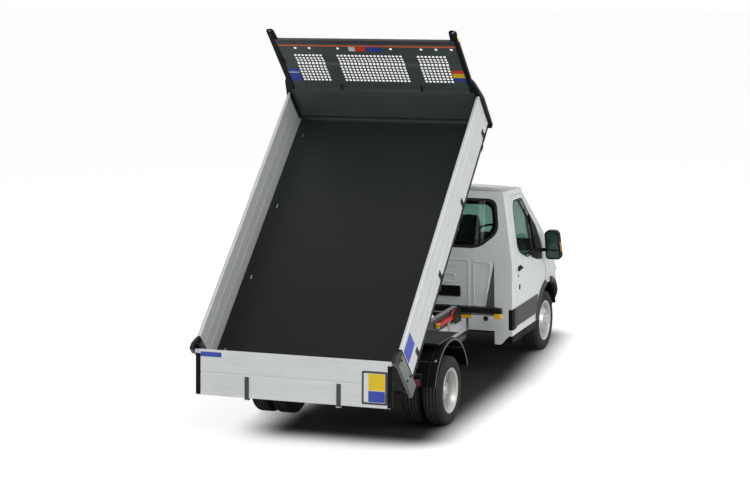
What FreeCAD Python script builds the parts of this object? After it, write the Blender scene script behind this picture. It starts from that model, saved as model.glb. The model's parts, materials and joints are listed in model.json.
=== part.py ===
import FreeCAD, Part
import os
import re

import Sketcher

# Light tipper truck, single cab, twin rear wheels, bed raised.
# Millimetres. +X is the truck's left, -Y is forwards, +Z is up.
# The origin is on the ground under the middle of the whole outline.

doc = FreeCAD.newDocument("tipper_truck")

# ---------------------------------------------------------------- driving sizes
# alias, value, what it is
SIZES = (
    ("wheelbase", 3504, "front axle to rear axle"),
    ("front_overhang", 1023, "front axle to bumper face"),
    ("cab_behind", 1374, "front axle to back of cab"),
    ("cab_half", 1000, "half width of the cab body"),
    ("cab_waist", 1250, "height where the cab sides start to lean in"),
    ("cab_eaves", 2030, "height of the roof edge"),
    ("roof_top", 2130, "height of the roof crown"),
    ("lean_in", 95, "how far the cab side leans in at the roof edge"),
    ("cab_wall", 70, "door and cab side thickness"),
    ("skin_gap", 0.2, "seated panels stop this short of each other"),
    ("shut_gap", 5, "gap round doors, bonnet and lids"),
    ("sill_low", 445, "underside of the sill"),
    ("column_low", 350, "foot of the rear cab column"),
    ("column_inner", 800, "inner edge of the rear cab column"),
    ("cab_floor_thick", 45, "cab floor"),
    ("back_recess", 24, "back panel set in from the column"),
    ("back_wall", 60, "back panel thickness"),
    ("door_hinge_y", 88, "door hinge axis behind the front axle"),
    ("door_hinge_x", 1003, "door hinge axis from the centre plane"),
    ("door_pin", 5, "door hinge pin radius"),
    ("bonnet_pin", 5, "bonnet hinge pin radius"),
    ("pin_play", 0.3, "radial play at hinge pins"),
    ("wing_skin", 30, "front wing panel"),
    ("glass_thick", 6, "windscreen and window glass"),
    ("tyre_radius", 345, "tyre outer radius"),
    ("tyre_half", 97.5, "half the tyre's section width"),
    ("rim_radius", 206, "tyre bead seat radius"),
    ("rim_half", 82, "half the rim width"),
    ("rim_wall", 13, "rim barrel wall"),
    ("disc_wall", 8, "wheel disc"),
    ("front_track_half", 870, "front wheel centre from the centre plane"),
    ("rear_track_half", 821, "middle of the twin wheels from the centre plane"),
    ("twin_half", 112.5, "half the spacing of the twin wheels"),
    ("arch_radius", 450, "front wheel arch"),
    ("arch_inner", 560, "inner wall of the front wheel arch"),
    ("liner_wall", 8, "arch liner"),
    ("kingpin_x", 730, "steering axis from the centre plane"),
    ("strut_radius", 32, "suspension strut"),
    ("spindle_radius", 25, "front wheel spindle"),
    ("arm_low", 215, "underside of the lower arms"),
    ("arm_thick", 30, "lower arm"),
    ("rail_outer", 470, "outer face of the chassis rails"),
    ("rail_flange", 70, "chassis rail flange"),
    ("rail_wall", 6, "chassis rail wall"),
    ("rail_low", 475, "underside of the chassis rails"),
    ("rail_high", 655, "top of the chassis rails"),
    ("rail_ahead", 760, "chassis rails ahead of the front axle"),
    ("rail_behind", 1020, "chassis rails behind the rear axle"),
    ("tow_plate", 12, "rear towing plate"),
    ("tow_hole", 5.5, "towing plate hole radius"),
    ("tow_across", 83, "towing plate holes, across"),
    ("tow_up", 56, "towing plate holes, up"),
    ("sub_high", 800, "top of the tipping subframe"),
    ("sub_wide", 60, "subframe rail width"),
    ("sub_front", 1950, "subframe front ahead of the rear axle"),
    ("sub_behind", 920, "subframe rear end behind the rear axle"),
    ("beam_deep", 80, "front rest beam, fore and aft"),
    ("beam_tall", 62, "front rest beam height"),
    ("beam_half", 890, "front rest beam half length"),
    ("stop_radius", 36, "yellow end stop of the rest beam"),
    ("stop_long", 62, "length of the end stop"),
    ("axle_radius", 50, "rear axle tube"),
    ("axle_end", 40, "rear hub spindle"),
    ("guard_radius", 535, "rear mudguard outer radius"),
    ("guard_wall", 10, "mudguard wall"),
    ("guard_inner", 700, "mudguard inner edge"),
    ("guard_outer", 1040, "mudguard outer edge"),
    ("guard_low", 495, "lower ends of the mudguards"),
    ("bed_tilt", 42, "bed angle as it stands, degrees"),
    ("bed_length", 3300, "load floor"),
    ("pivot_behind", 859, "tipping pivot behind the rear axle"),
    ("pivot_high", 828, "tipping pivot above the ground"),
    ("pivot_from_rear", 400, "pivot ahead of the floor's rear edge"),
    ("pivot_drop", 170, "pivot below the floor's top"),
    ("pivot_radius", 20, "tipping pivot shaft"),
    ("floor_half", 1015, "half width of the floor plate"),
    ("floor_thick", 30, "floor plate"),
    ("bearer_tall", 70, "cross bearers under the floor"),
    ("bearer_wide", 60, "cross bearers, fore and aft"),
    ("bearer_count", 9, "number of cross bearers"),
    ("runner_inner", 300, "inner face of the long runners"),
    ("runner_wide", 60, "long runner width"),
    ("runner_low", -18, "underside of the runners, from the pivot"),
    ("runner_end", 200, "runners stop short of the floor's rear edge"),
    ("side_height", 400, "dropside above the floor"),
    ("side_inner", 1020, "inner face of the dropsides"),
    ("side_thick", 30, "dropside panel"),
    ("side_hinge_x", 1060, "dropside hinge axis"),
    ("side_hinge_drop", 12, "dropside hinge below the floor's top"),
    ("side_pin", 6, "dropside hinge pin radius"),
    ("post_long", 150, "rear corner post, along the bed"),
    ("post_behind", 20, "corner post behind the floor's rear edge"),
    ("post_tall", 460, "corner post above the floor"),
    ("post_inner", 1015.4, "inner face of the corner posts"),
    ("post_outer", 1048, "outer face of the corner posts"),
    ("board_tall", 1190, "headboard above the floor"),
    ("board_thick", 30, "headboard frame"),
    ("board_half", 1000, "headboard half width"),
    ("board_post_tall", 1335, "headboard posts above the floor"),
    ("board_post_wide", 50, "headboard posts"),
    ("gate_half", 1008, "tailgate half width"),
    ("gate_thick", 28, "tailgate panel"),
    ("gate_below", 425, "tailgate below its hinge"),
    ("gate_above", 15, "tailgate above its hinge"),
    ("gate_offset", 15, "tailgate hinge behind the panel's middle"),
    ("gate_hinge_up", 405, "tailgate hinge above the floor"),
    ("gate_pin", 10, "tailgate hinge pin radius"),
    ("ram_base_ahead", 420, "foot of the ram ahead of the rear axle"),
    ("ram_base_high", 500, "foot of the ram above the ground"),
    ("ram_from_rear", 1750, "ram eye ahead of the floor's rear edge"),
    ("ram_drop", 110, "ram eye below the floor's top"),
    ("ram_radius", 80, "ram barrel"),
    ("ram_step", 10, "each stage is this much smaller"),
    ("ram_stage_long", 355, "length of each stage"),
    ("ram_eye", 55, "eye at the top of the ram"),
    ("ram_eye_bore", 43, "bore of the ram eye"),
    ("ram_pin", 18, "pin in the bed's ram bracket"),
    ("prop_long", 700, "safety prop"),
    ("prop_pivot_ahead", 1150, "safety prop's pin ahead of the rear axle"),
    ("prop_pin_radius", 12, "safety prop's pin radius"),
    ("driver_x", 470, "driver's seat from the centre plane"),
    ("steer_radius", 195, "steering wheel"),
    ("steer_lean", 38, "steering wheel's lean, degrees"),
    ("mirror_reach", 1237, "mirror's outer edge from the centre plane"),
)

sizes = doc.addObject("Spreadsheet::Sheet", "sizes")
for row, (alias, value, meaning) in enumerate(SIZES, start=1):
    sizes.set("A%d" % row, meaning)
    sizes.set("B%d" % row, str(value))
    sizes.setAlias("B%d" % row, alias)

# ---------------------------------------------------------------- places that follow
# name, worked out from the sizes and the names above it
PLACES = (
    ("tilt_cos", "cos(bed_tilt * 1 deg)"),
    ("tilt_sin", "sin(bed_tilt * 1 deg)"),
    ("gate_hang", "atan(2 * gate_offset / (gate_below - gate_above)) / 1 deg"),
    ("gate_y", "pivot_from_rear + shut_gap + gate_thick / 2 + gate_offset"),
    ("gate_z", "pivot_drop + gate_hinge_up"),
    ("gate_behind", "pivot_behind + gate_y * tilt_cos + gate_z * tilt_sin"),
    ("gate_high", "pivot_high - gate_y * tilt_sin + gate_z * tilt_cos"),
    ("tail_end", "gate_behind + gate_below * sin(gate_hang * 1 deg)"),
    ("rear_axle_y", "(wheelbase + front_overhang - tail_end) / 2"),
    ("front_axle_y", "rear_axle_y - wheelbase"),
    ("wheel_z", "tyre_radius"),
    ("pivot_y", "rear_axle_y + pivot_behind"),
    ("gate_axis_y", "rear_axle_y + gate_behind"),
    ("ram_foot_y", "rear_axle_y - ram_base_ahead"),
    ("ram_a", "pivot_from_rear - ram_from_rear"),
    ("ram_b", "pivot_drop - ram_drop"),
    ("ram_dy", "pivot_y + ram_a * tilt_cos + ram_b * tilt_sin - ram_foot_y"),
    ("ram_dz", "pivot_high - ram_a * tilt_sin + ram_b * tilt_cos - ram_base_high"),
    ("ram_length", "sqrt(ram_dy ^ 2 + ram_dz ^ 2)"),
    ("ram_lean", "atan(ram_dy / ram_dz) / 1 deg"),
    ("ram_low_dy", "pivot_y + ram_a - ram_foot_y"),
    ("ram_low_dz", "pivot_high + ram_b - ram_base_high"),
    ("ram_closed", "sqrt(ram_low_dy ^ 2 + ram_low_dz ^ 2)"),
    ("ram_stroke", "(ram_length - ram_closed) / 3"),
    ("cab_floor_high", "rail_high + cab_floor_thick"),
    ("cab_back_front", "cab_behind - back_recess - back_wall"),
    ("bed_front", "pivot_from_rear - bed_length"),
    ("floor_low", "pivot_drop - floor_thick"),
    ("bearer_low", "floor_low - bearer_tall"),
)

places = doc.addObject("App::VarSet", "places")
ALIASES = {alias for alias, value, meaning in SIZES}
NAMES = {name for name, rule in PLACES}


def rule(text):
    """Turn plain names into references to the sheet and the place list."""
    def full(match):
        word = match.group(0)
        if word in ALIASES:
            return "sizes." + word
        if word in NAMES:
            return "places." + word
        return word
    return re.sub(r"[a-z_][a-z_0-9]*", full, str(text))


def bind(item, prop, text):
    item.setExpression(prop, rule(text))


for name, text in PLACES:
    places.addProperty("App::PropertyFloat", name)
    bind(places, name, text)
doc.recompute()


# ---------------------------------------------------------------- building helpers
def block(name, x, y, z):
    """A box between two places on each axis."""
    item = doc.addObject("Part::Box", name)
    for prop, axis, (low, high) in (("Length", "x", x), ("Width", "y", y), ("Height", "z", z)):
        bind(item, "Placement.Base." + axis, low)
        bind(item, prop, "(%s) - (%s)" % (high, low))
    return item


def mirror_span(side, low, high):
    """The span from low to high on the left side, or its image on the right."""
    if side > 0:
        return (str(low), str(high))
    return ("-(%s)" % high, "-(%s)" % low)


TURN = {
    "X": FreeCAD.Rotation(FreeCAD.Vector(0, 1, 0), 90),
    "Y": FreeCAD.Rotation(FreeCAD.Vector(1, 0, 0), -90),
    "Z": FreeCAD.Rotation(),
}


def rod(name, along, span, centre, radius):
    """A cylinder along one axis; centre gives the other two coordinates in X, Y, Z order."""
    item = doc.addObject("Part::Cylinder", name)
    item.Placement = FreeCAD.Placement(FreeCAD.Vector(), TURN[along])
    others = [axis for axis in "xyz" if axis != along.lower()]
    bind(item, "Placement.Base." + along.lower(), span[0])
    bind(item, "Placement.Base." + others[0], centre[0])
    bind(item, "Placement.Base." + others[1], centre[1])
    bind(item, "Radius", radius)
    bind(item, "Height", "(%s) - (%s)" % (span[1], span[0]))
    return item


def number(text):
    """The present value of a rule, for the first position of a sketch line."""
    return float(doc.getObject("sizes").evalExpression(rule(text)))


def outline(body, name, plane, points):
    """A closed sketch whose corners are bound to the sheet."""
    sketch = body.newObject("Sketcher::SketchObject", name + "_outline")
    sketch.AttachmentSupport = [
        (item, "") for item in body.Origin.OriginFeatures if item.Role == plane + "_Plane"
    ]
    sketch.MapMode = "FlatFace"
    corners = [FreeCAD.Vector(number(a), number(b), 0) for a, b in points]
    count = len(points)
    for i in range(count):
        sketch.addGeometry(Part.LineSegment(corners[i], corners[(i + 1) % count]), False)
    joins = [Sketcher.Constraint("Coincident", i, 2, (i + 1) % count, 1) for i in range(count)]
    sketch.addConstraint(joins)
    for i, (a, b) in enumerate(points):
        first = sketch.addConstraint(Sketcher.Constraint("DistanceX", -1, 1, i, 1, corners[i].x))
        second = sketch.addConstraint(Sketcher.Constraint("DistanceY", -1, 1, i, 1, corners[i].y))
        bind(sketch, "Constraints[%d]" % first, a)
        bind(sketch, "Constraints[%d]" % second, b)
    return sketch


def prism(name, plane, points, span):
    """A padded outline between two places along the plane's normal."""
    body = doc.addObject("PartDesign::Body", name)
    sketch = outline(body, name, plane, points)
    sign = "-1" if plane == "XZ" else "1"
    bind(sketch, "AttachmentOffset.Base.z", "%s * (%s)" % (sign, span[0]))
    pad = body.newObject("PartDesign::Pad", name + "_pad")
    pad.Profile = sketch
    pad.Reversed = plane == "XZ"
    bind(pad, "Length", "(%s) - (%s)" % (span[1], span[0]))
    body.Tip = pad
    return body


def turned(name, points):
    """An outline of (x, radius) points turned about the X axis."""
    body = doc.addObject("PartDesign::Body", name)
    sketch = outline(body, name, "XY", points)
    spin = body.newObject("PartDesign::Revolution", name + "_turn")
    spin.Profile = sketch
    spin.ReferenceAxis = (sketch, ["H_Axis"])
    spin.Angle = 360
    body.Tip = spin
    return body


def fuse(name, *parts):
    item = doc.addObject("Part::MultiFuse", name)
    item.Shapes = list(parts)
    return item


def cut(name, base, *tools):
    item = doc.addObject("Part::Cut", name)
    item.Base = base
    item.Tool = tools[0] if len(tools) == 1 else fuse(name + "_tools", *tools)
    return item


def common(name, first, second):
    item = doc.addObject("Part::Common", name)
    item.Base = first
    item.Tool = second
    return item


def group(name, *parts):
    item = doc.addObject("Part::Compound", name)
    item.Links = list(parts)
    return item


nodes = []


def node(label, item, y="0", z="0", turn=None):
    """Name a finished sub-part and put it in its place on the truck."""
    placed = item.TypeId == "PartDesign::Body" or item.ExpressionEngine
    holder = group(label, item) if placed else item
    holder.Label = label
    if turn is not None:
        holder.Placement = FreeCAD.Placement(FreeCAD.Vector(), FreeCAD.Rotation(FreeCAD.Vector(1, 0, 0), 1))
        bind(holder, "Placement.Rotation.Angle", "(%s) * 1 deg" % turn)
    bind(holder, "Placement.Base.y", y)
    bind(holder, "Placement.Base.z", z)
    nodes.append(holder)
    return holder


def front(label, item):
    return node(label, item, y="front_axle_y")


def rear(label, item):
    return node(label, item, y="rear_axle_y")


def on_bed(label, item):
    return node(label, item, y="pivot_y", z="pivot_high", turn="-bed_tilt")


def on_ram(label, item):
    return node(label, item, y="ram_foot_y", z="ram_base_high", turn="-ram_lean")


SIDES = (("left", 1), ("right", -1))


# ---------------------------------------------------------------- chassis, rear axle frame
def chassis_rails():
    rails = []
    ahead = "-(wheelbase + rail_ahead)"
    for word, side in SIDES:
        web = mirror_span(side, "rail_outer - rail_wall", "rail_outer")
        flange = mirror_span(side, "rail_outer - rail_flange", "rail_outer")
        span = (ahead, "rail_behind")
        rails.append(fuse(
            word + "_rail",
            block(word + "_web", web, span, ("rail_low", "rail_high")),
            block(word + "_top", flange, span, ("rail_high - rail_wall", "rail_high")),
            block(word + "_foot", flange, span, ("rail_low", "rail_low + rail_wall")),
        ))
    return rear("chassis_rails", group("rails", *rails))


# inner face of the rail webs, less the seat gap
RAIL_INSIDE = "rail_outer - rail_wall - skin_gap"

# name, where it starts and ends behind the rear axle, underside, top
CROSS_MEMBERS = (
    ("nose_tie", "-(wheelbase + 740)", "-(wheelbase + 690)", "rail_low + 25", "rail_high - 25"),
    ("gearbox_tie", "-(wheelbase - 680)", "-(wheelbase - 740)", "rail_low + 10", "rail_low + 90"),
    ("ram_front_tie", "-(ram_base_ahead + 170)", "-(ram_base_ahead + 130)", "rail_low + 8", "rail_high - 60"),
    ("ram_rear_tie", "-(ram_base_ahead - 130)", "-(ram_base_ahead - 170)", "rail_low + 8", "rail_high - 60"),
    ("axle_tie", "300", "350", "rail_low + 85", "rail_high - 15"),
)


def cross_members():
    between = ("-(%s)" % RAIL_INSIDE, RAIL_INSIDE)
    parts = []
    for name, start, end, low, high in CROSS_MEMBERS:
        parts.append(block(name, between, (start, end), (low, high)))
    cradle = []
    for word, side in SIDES:
        plate = block(
            word + "_cradle", mirror_span(side, "ram_radius + 25", "ram_radius + 45"),
            ("-(ram_base_ahead + 130)", "-(ram_base_ahead - 130)"),
            ("ram_base_high - 45", "ram_base_high + 45"),
        )
        cradle.append(plate)
    bore = rod("trunnion_bore", "X", ("-(ram_radius + 60)", "ram_radius + 60"),
               ("-ram_base_ahead", "ram_base_high"), "ram_pin + pin_play")
    carried = cut("ram_cradle", fuse("ram_frame", parts[2], parts[3], *cradle), bore)
    tow = block("tow_blank", ("-rail_outer", "rail_outer"), ("rail_behind", "rail_behind + tow_plate"),
                ("rail_low", "rail_high"))
    holes = []
    for across in ("-", ""):
        for up in ("-", "+"):
            holes.append(rod(
                "tow_bolt", "Y", ("rail_behind - 1", "rail_behind + tow_plate + 1"),
                ("%stow_across / 2" % across, "(rail_low + rail_high) / 2 %s tow_up / 2" % up), "tow_hole"))
    plate = cut("tow_plate", tow, *holes)
    return rear("cross_members", group("ties", parts[0], parts[1], carried, parts[4], plate))


PROP_SIDE = "rail_outer - rail_flange + sub_wide"


def subframe_rails():
    """Two long rails; the right one carries the safety prop's pin and rest."""
    rails = []
    for word, side in SIDES:
        rails.append(block(
            word + "_subrail", mirror_span(side, "rail_outer - rail_flange", PROP_SIDE),
            ("-(sub_front - beam_deep)", "sub_behind"), ("rail_high", "sub_high")))
    pin = rod("prop_pin", "X", ("-(%s + 56)" % PROP_SIDE, "-(%s - 5)" % PROP_SIDE),
              ("-prop_pivot_ahead", "sub_high - 65"), "prop_pin_radius")
    rest = block("prop_rest", ("-(%s + 54)" % PROP_SIDE, "-(%s - 5)" % PROP_SIDE),
                 ("-(prop_pivot_ahead + prop_long - 60)", "-(prop_pivot_ahead + prop_long - 90)"),
                 ("sub_high - 100", "sub_high - 85 - pin_play"))
    return rear("subframe_rails", group("subrails", rails[0],
                                        fuse("right_subrail_whole", rails[1], pin, rest)))


def subframe_beams():
    """The front beam that the lowered bed rests over, and the shaft that the bed turns on."""
    inner = "rail_outer - rail_flange"
    beam = [block("beam", ("-beam_half", "beam_half"), ("-sub_front", "-(sub_front - beam_deep)"),
                  ("sub_high - beam_tall", "sub_high"))]
    shaft = [rod("shaft", "X", ("-(%s)" % PROP_SIDE, PROP_SIDE), ("pivot_behind", "pivot_high"),
                 "pivot_radius")]
    for word, side in SIDES:
        beam.append(block(word + "_beam_foot", mirror_span(side, inner, PROP_SIDE),
                          ("-sub_front", "-(sub_front - beam_deep)"), ("rail_high", "sub_high - beam_tall")))
        beam.append(rod(word + "_beam_end", "X", mirror_span(side, "beam_half", "beam_half + stop_long"),
                        ("-(sub_front - beam_deep / 2)", "sub_high - stop_radius"), "stop_radius"))
        shaft.append(block(word + "_ear", mirror_span(side, inner, PROP_SIDE),
                           ("pivot_behind - 55", "pivot_behind + 55"), ("sub_high", "pivot_high + 40")))
    return rear("subframe_beams", group("beams", fuse("rest_beam", *beam), fuse("pivot_shaft", *shaft)))


def safety_prop():
    """The bar that is swung up under the raised bed, shown lying along the right rail."""
    across = ("-(%s + 50)" % PROP_SIDE, "-(%s + 10)" % PROP_SIDE)
    centre = ("-prop_pivot_ahead", "sub_high - 65")
    bar = block("prop_bar", across, ("-(prop_pivot_ahead + prop_long)", "-prop_pivot_ahead"),
                ("sub_high - 85", "sub_high - 45"))
    eye = rod("prop_eye", "X", across, centre, "26")
    bore = rod("prop_bore", "X", ("-(%s + 60)" % PROP_SIDE, "-(%s)" % PROP_SIDE), centre,
               "prop_pin_radius + pin_play")
    return rear("safety_prop", cut("prop", fuse("prop_blank", bar, eye), bore))


def rear_axle():
    tube = rod("axle_tube", "X", ("-600", "600"), ("0", "wheel_z"), "axle_radius")
    banjo = rod("banjo", "X", ("-105", "105"), ("0", "wheel_z"), "160")
    nose = rod("pinion_nose", "Y", ("-260", "-100"), ("0", "wheel_z + 15"), "55")
    parts = [tube, banjo, nose]
    for word, side in SIDES:
        parts.append(rod(word + "_drum", "X", mirror_span(side, "590", "700"), ("0", "wheel_z"), "130"))
        parts.append(rod(word + "_hub", "X", mirror_span(side, "690", "rear_track_half + 55"),
                         ("0", "wheel_z"), "axle_end"))
    return rear("rear_axle", fuse("axle", *parts))


# half length, underside above the axle tube, thickness
LEAVES = ((640, 0, 14), (460, 14, 14), (280, 28, 14))


def leaf_springs():
    springs = []
    for word, side in SIDES:
        across = mirror_span(side, "rail_outer + 22", "rail_outer + 88")
        parts = []
        for half, up, thick in LEAVES:
            low = "wheel_z + axle_radius + skin_gap + %d" % up
            parts.append(block(word + "_leaf", across, ("-%d" % half, "%d" % half),
                               (low, "%s + %d" % (low, thick))))
        for place in (-1, 1):
            parts.append(block(
                word + "_hanger", mirror_span(side, "rail_outer", "rail_outer + 88"),
                tuple(sorted(("%d" % (place * 600), "%d" % (place * 640)), key=float)),
                ("wheel_z + axle_radius + skin_gap", "rail_low + 75")))
        springs.append(fuse(word + "_spring", *parts))
    return rear("leaf_springs", group("springs", *springs))


def prop_shaft():
    shaft = rod("shaft_tube", "Y", ("-(wheelbase - 640 - skin_gap)", "-(260 + skin_gap)"),
                ("0", "wheel_z + 15"), "38")
    return rear("prop_shaft", shaft)


def mudguards():
    guards = []
    for word, side in SIDES:
        across = mirror_span(side, "guard_inner", "guard_outer")
        outer = rod(word + "_guard_outer", "X", across, ("0", "wheel_z"), "guard_radius")
        inner = rod(word + "_guard_inner", "X", mirror_span(side, "guard_inner - 1", "guard_outer + 1"),
                    ("0", "wheel_z"), "guard_radius - guard_wall")
        below = block(word + "_guard_below", mirror_span(side, "guard_inner - 2", "guard_outer + 2"),
                      ("-(guard_radius + 5)", "guard_radius + 5"),
                      ("wheel_z - guard_radius - 5", "guard_low"))
        shell = cut(word + "_guard_shell", outer, inner, below)
        stays = []
        for place in ("-", ""):
            stays.append(rod(
                word + "_stay", "X", mirror_span(side, "rail_outer - rail_flange + sub_wide",
                                                 "guard_outer - 10"),
                ("%sguard_radius * 0.70" % place, "wheel_z + guard_radius * 0.68"), "11"))
        guards.append(fuse(word + "_guard", shell, *stays))
    return rear("mudguards", group("guards", *guards))


def rear_lamps():
    lamps = []
    for word, side in SIDES:
        bar = block(word + "_lamp_bar", mirror_span(side, "rail_outer", "guard_outer - 95"),
                    ("600", "640"), ("605", "648"))
        lamp = block(word + "_lamp", mirror_span(side, "guard_inner", "guard_outer - 105"),
                     ("602", "662"), ("525", "610"))
        lamps.append(fuse(word + "_lamp_unit", bar, lamp))
    return rear("rear_lamps", group("lamps", *lamps))


def fuel_tank():
    tank = prism("tank", "XZ", (
        ("rail_outer", "370"), ("800", "370"), ("840", "420"), ("840", "600"), ("800", "645"),
        ("rail_outer", "645"),
    ), ("-1800", "-950"))
    return rear("fuel_tank", tank)


def hydraulic_pack():
    pack = block("pack", ("-150", "150"), ("-1780", "-1460"), ("520", "780"))
    shelf = block("shelf", ("-(%s)" % RAIL_INSIDE, RAIL_INSIDE), ("-1780", "-1460"), ("505", "520"))
    return rear("hydraulic_pack", fuse("packs", pack, shelf))


def exhaust_pipe():
    pipe = rod("pipe", "Y", ("-(wheelbase - 300)", "-900"), ("-(rail_outer - rail_flange - 45)",
                                                             "rail_low - 60"), "28")
    box = rod("silencer", "Y", ("-2300", "-1750"), ("-(rail_outer - rail_flange - 65)", "rail_low - 90"),
              "85")
    strap = block("strap", ("-(rail_outer - rail_flange)", "-(rail_outer - rail_flange - 30)"),
                  ("-2060", "-2030"),
                  ("rail_low - 60", "rail_low"))
    return rear("exhaust_pipe", fuse("exhaust", pipe, box, strap))


# ---------------------------------------------------------------- front end, front axle frame
def front_subframe():
    plate = block("sub_plate", ("-380", "380"), ("-250", "250"), ("arm_low", "arm_low + 70"))
    parts = [plate]
    for word, side in SIDES:
        parts.append(block(word + "_arm", mirror_span(side, "370", "kingpin_x + 30"), ("-42", "42"),
                           ("arm_low", "arm_low + arm_thick")))
        for place in (("-230", "-170"), ("170", "230")):
            parts.append(block(word + "_riser", mirror_span(side, "rail_outer - rail_flange - 40",
                                                            "rail_outer - 10"),
                               place, ("arm_low", "rail_low")))
    return front("front_subframe", fuse("sub_parts", *parts))


def engine_block():
    """Engine and gearbox as one plain mass on the front subframe."""
    engine = block("engine", ("-250", "250"), ("-520", "45"), ("arm_low + 70", "880"))
    case = prism("gear_case", "YZ", (
        ("40", "310"), ("40", "600"), ("260", "540"), ("640", "470"), ("640", "310"),
    ), ("-150", "150"))
    return front("engine_block", fuse("engine_whole", engine, case))


def arch_cutter(name, side, radius="arch_radius"):
    return rod(name, "X", mirror_span(side, "arch_inner", "cab_half + 60"), ("0", "wheel_z"), radius)


def wheel_arches():
    liners = []
    for word, side in SIDES:
        across = mirror_span(side, "arch_inner", "cab_half - 35")
        outer = rod(word + "_liner_outer", "X", across, ("0", "wheel_z"), "arch_radius - skin_gap")
        inner = rod(word + "_liner_inner", "X", mirror_span(side, "arch_inner + liner_wall", "cab_half"),
                    ("0", "wheel_z"), "arch_radius - liner_wall")
        below = block(word + "_liner_below", mirror_span(side, "arch_inner - 5", "cab_half"),
                      ("-(arch_radius + 5)", "arch_radius + 5"), ("0 - arch_radius", "sill_low + 20"))
        door = block(word + "_liner_well", mirror_span(side, "arch_inner - 5", "arch_inner + liner_wall + 1"),
                     ("-240", "240"), ("0", "rail_high - 55"))
        liners.append(cut(word + "_liner", outer, inner, below, door))
    return front("wheel_arches", group("liners", *liners))


def front_panel():
    panel = block("panel", ("-880", "880"), ("-800", "-rail_ahead"), ("400", "920"))
    return front("front_panel", panel)


def bumper():
    shell = prism("bumper_shell", "XY", (
        ("-cab_half", "-440"), ("-cab_half", "-720"), ("-900", "-905"), ("-500", "-(front_overhang - 25)"),
        ("-220", "-front_overhang"), ("220", "-front_overhang"), ("500", "-(front_overhang - 25)"),
        ("900", "-905"), ("cab_half", "-720"), ("cab_half", "-440"), ("cab_half - 60", "-440"),
        ("cab_half - 60", "-715"), ("cab_half - 119", "-800.2"), ("-(cab_half - 119)", "-800.2"),
        ("-(cab_half - 60)", "-715"), ("-(cab_half - 60)", "-440"),
    ), ("240", "640"))
    return front("front_bumper", cut("bumper_trim", shell, arch_cutter("bump_left", 1),
                                     arch_cutter("bump_right", -1)))


def grille():
    face = prism("grille_face", "XY", (
        ("-635", "-935"), ("-300", "-968"), ("300", "-968"), ("635", "-935"), ("635", "-800.2"),
        ("-635", "-800.2"),
    ), ("645", "925"))
    return front("grille", face)


def headlamps():
    lamps = []
    for word, side in SIDES:
        s = "" if side > 0 else "-"
        lamps.append(prism(word + "_headlamp", "XY", (
            (s + "640", "-932"), (s + "900", "-862"), (s + "982", "-720"), (s + "cab_half", "-525"),
            (s + "935", "-525"), (s + "884", "-800.2"), (s + "640", "-800.2"),
        ), ("645", "925")))
    return front("headlamps", group("lamp_pair", *lamps))


def front_wings():
    wings = []
    for word, side in SIDES:
        skin = prism(word + "_wing_skin", "YZ", (
            ("89", "640"), ("89", "960"), ("204", "1180"), ("-81", "1172"), ("-430", "1085"),
            ("-520", "960"), ("-520", "640"),
        ), mirror_span(side, "cab_half - wing_skin", "cab_half"))
        ledge = prism(word + "_wing_ledge", "YZ", (
            ("60", "1120"), ("-81", "1110"), ("-515", "1000"), ("-515", "850"), ("-430", "850"),
            ("60", "1060"),
        ), mirror_span(side, "cab_half - cab_wall", "cab_half - wing_skin + 1"))
        notch = block(word + "_hinge_notch", mirror_span(side, "cab_half - wing_skin - 1", "cab_half + 1"),
                      ("71", "95"), ("790", "961"))
        blank = fuse(word + "_wing_blank", skin, ledge)
        wings.append(cut(word + "_wing", blank, notch, arch_cutter(word + "_wing_arch", side)))
    return front("front_wings", group("wings", *wings))


BONNET_AXIS = ("-118", "1248")


def nose_plan(side_edge, corner, cheek, nose):
    """The bonnet seen from above: half widths at the sides and how far forward the nose runs."""
    right = (
        ("-" + side_edge, "0"), ("-" + side_edge, "-600"), ("-(%s - 10)" % side_edge, "-700"),
        ("-" + corner[0], "-" + corner[1]), ("-" + cheek[0], "-" + cheek[1]), ("-300", "-" + nose),
    )
    left = tuple((a[1:], b) for a, b in reversed(right))
    return right + left


def bonnet():
    """A lid with a skirt, hinged in front of the windscreen."""
    outer = common(
        "bonnet_outer",
        prism("bonnet_profile", "YZ", (
            ("-123", "1236"), ("-520", "1135"), ("-860", "1020"), ("-940", "972"), ("-958", "931"),
            ("-525", "931"), ("-525", "1012"), ("-123", "1112"),
        ), ("-cab_half", "cab_half")),
        prism("bonnet_plan", "XY", nose_plan("(cab_half - 35)", ("895", "852"), ("640", "925"), "958"),
              ("900", "1300")))
    inner = common(
        "bonnet_inner",
        prism("bonnet_hollow", "YZ", (
            ("-110", "1205"), ("-520", "1105"), ("-850", "990"), ("-905", "955"), ("-925", "900"),
            ("-110", "900"),
        ), ("-cab_half", "cab_half")),
        prism("bonnet_room", "XY", nose_plan("(cab_half - 65)", ("872", "824"), ("630", "893"), "926"),
              ("850", "1300")))
    slots = []
    eyes = []
    for word, side in SIDES:
        slots.append(block(word + "_lug_slot", mirror_span(side, "684.5", "705"), ("-132", "-100"),
                           ("1180", "1260")))
        eye = block(word + "_bonnet_lug", mirror_span(side, "656", "684"), ("-150", "-108"), ("1225", "1258"))
        bore = rod(word + "_bonnet_bore", "X", mirror_span(side, "640", "700"), BONNET_AXIS,
                   "bonnet_pin + pin_play")
        eyes.append(cut(word + "_bonnet_eye", eye, bore))
    return front("bonnet", fuse("bonnets", cut("bonnet_shell", outer, inner, *slots), *eyes))


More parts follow.
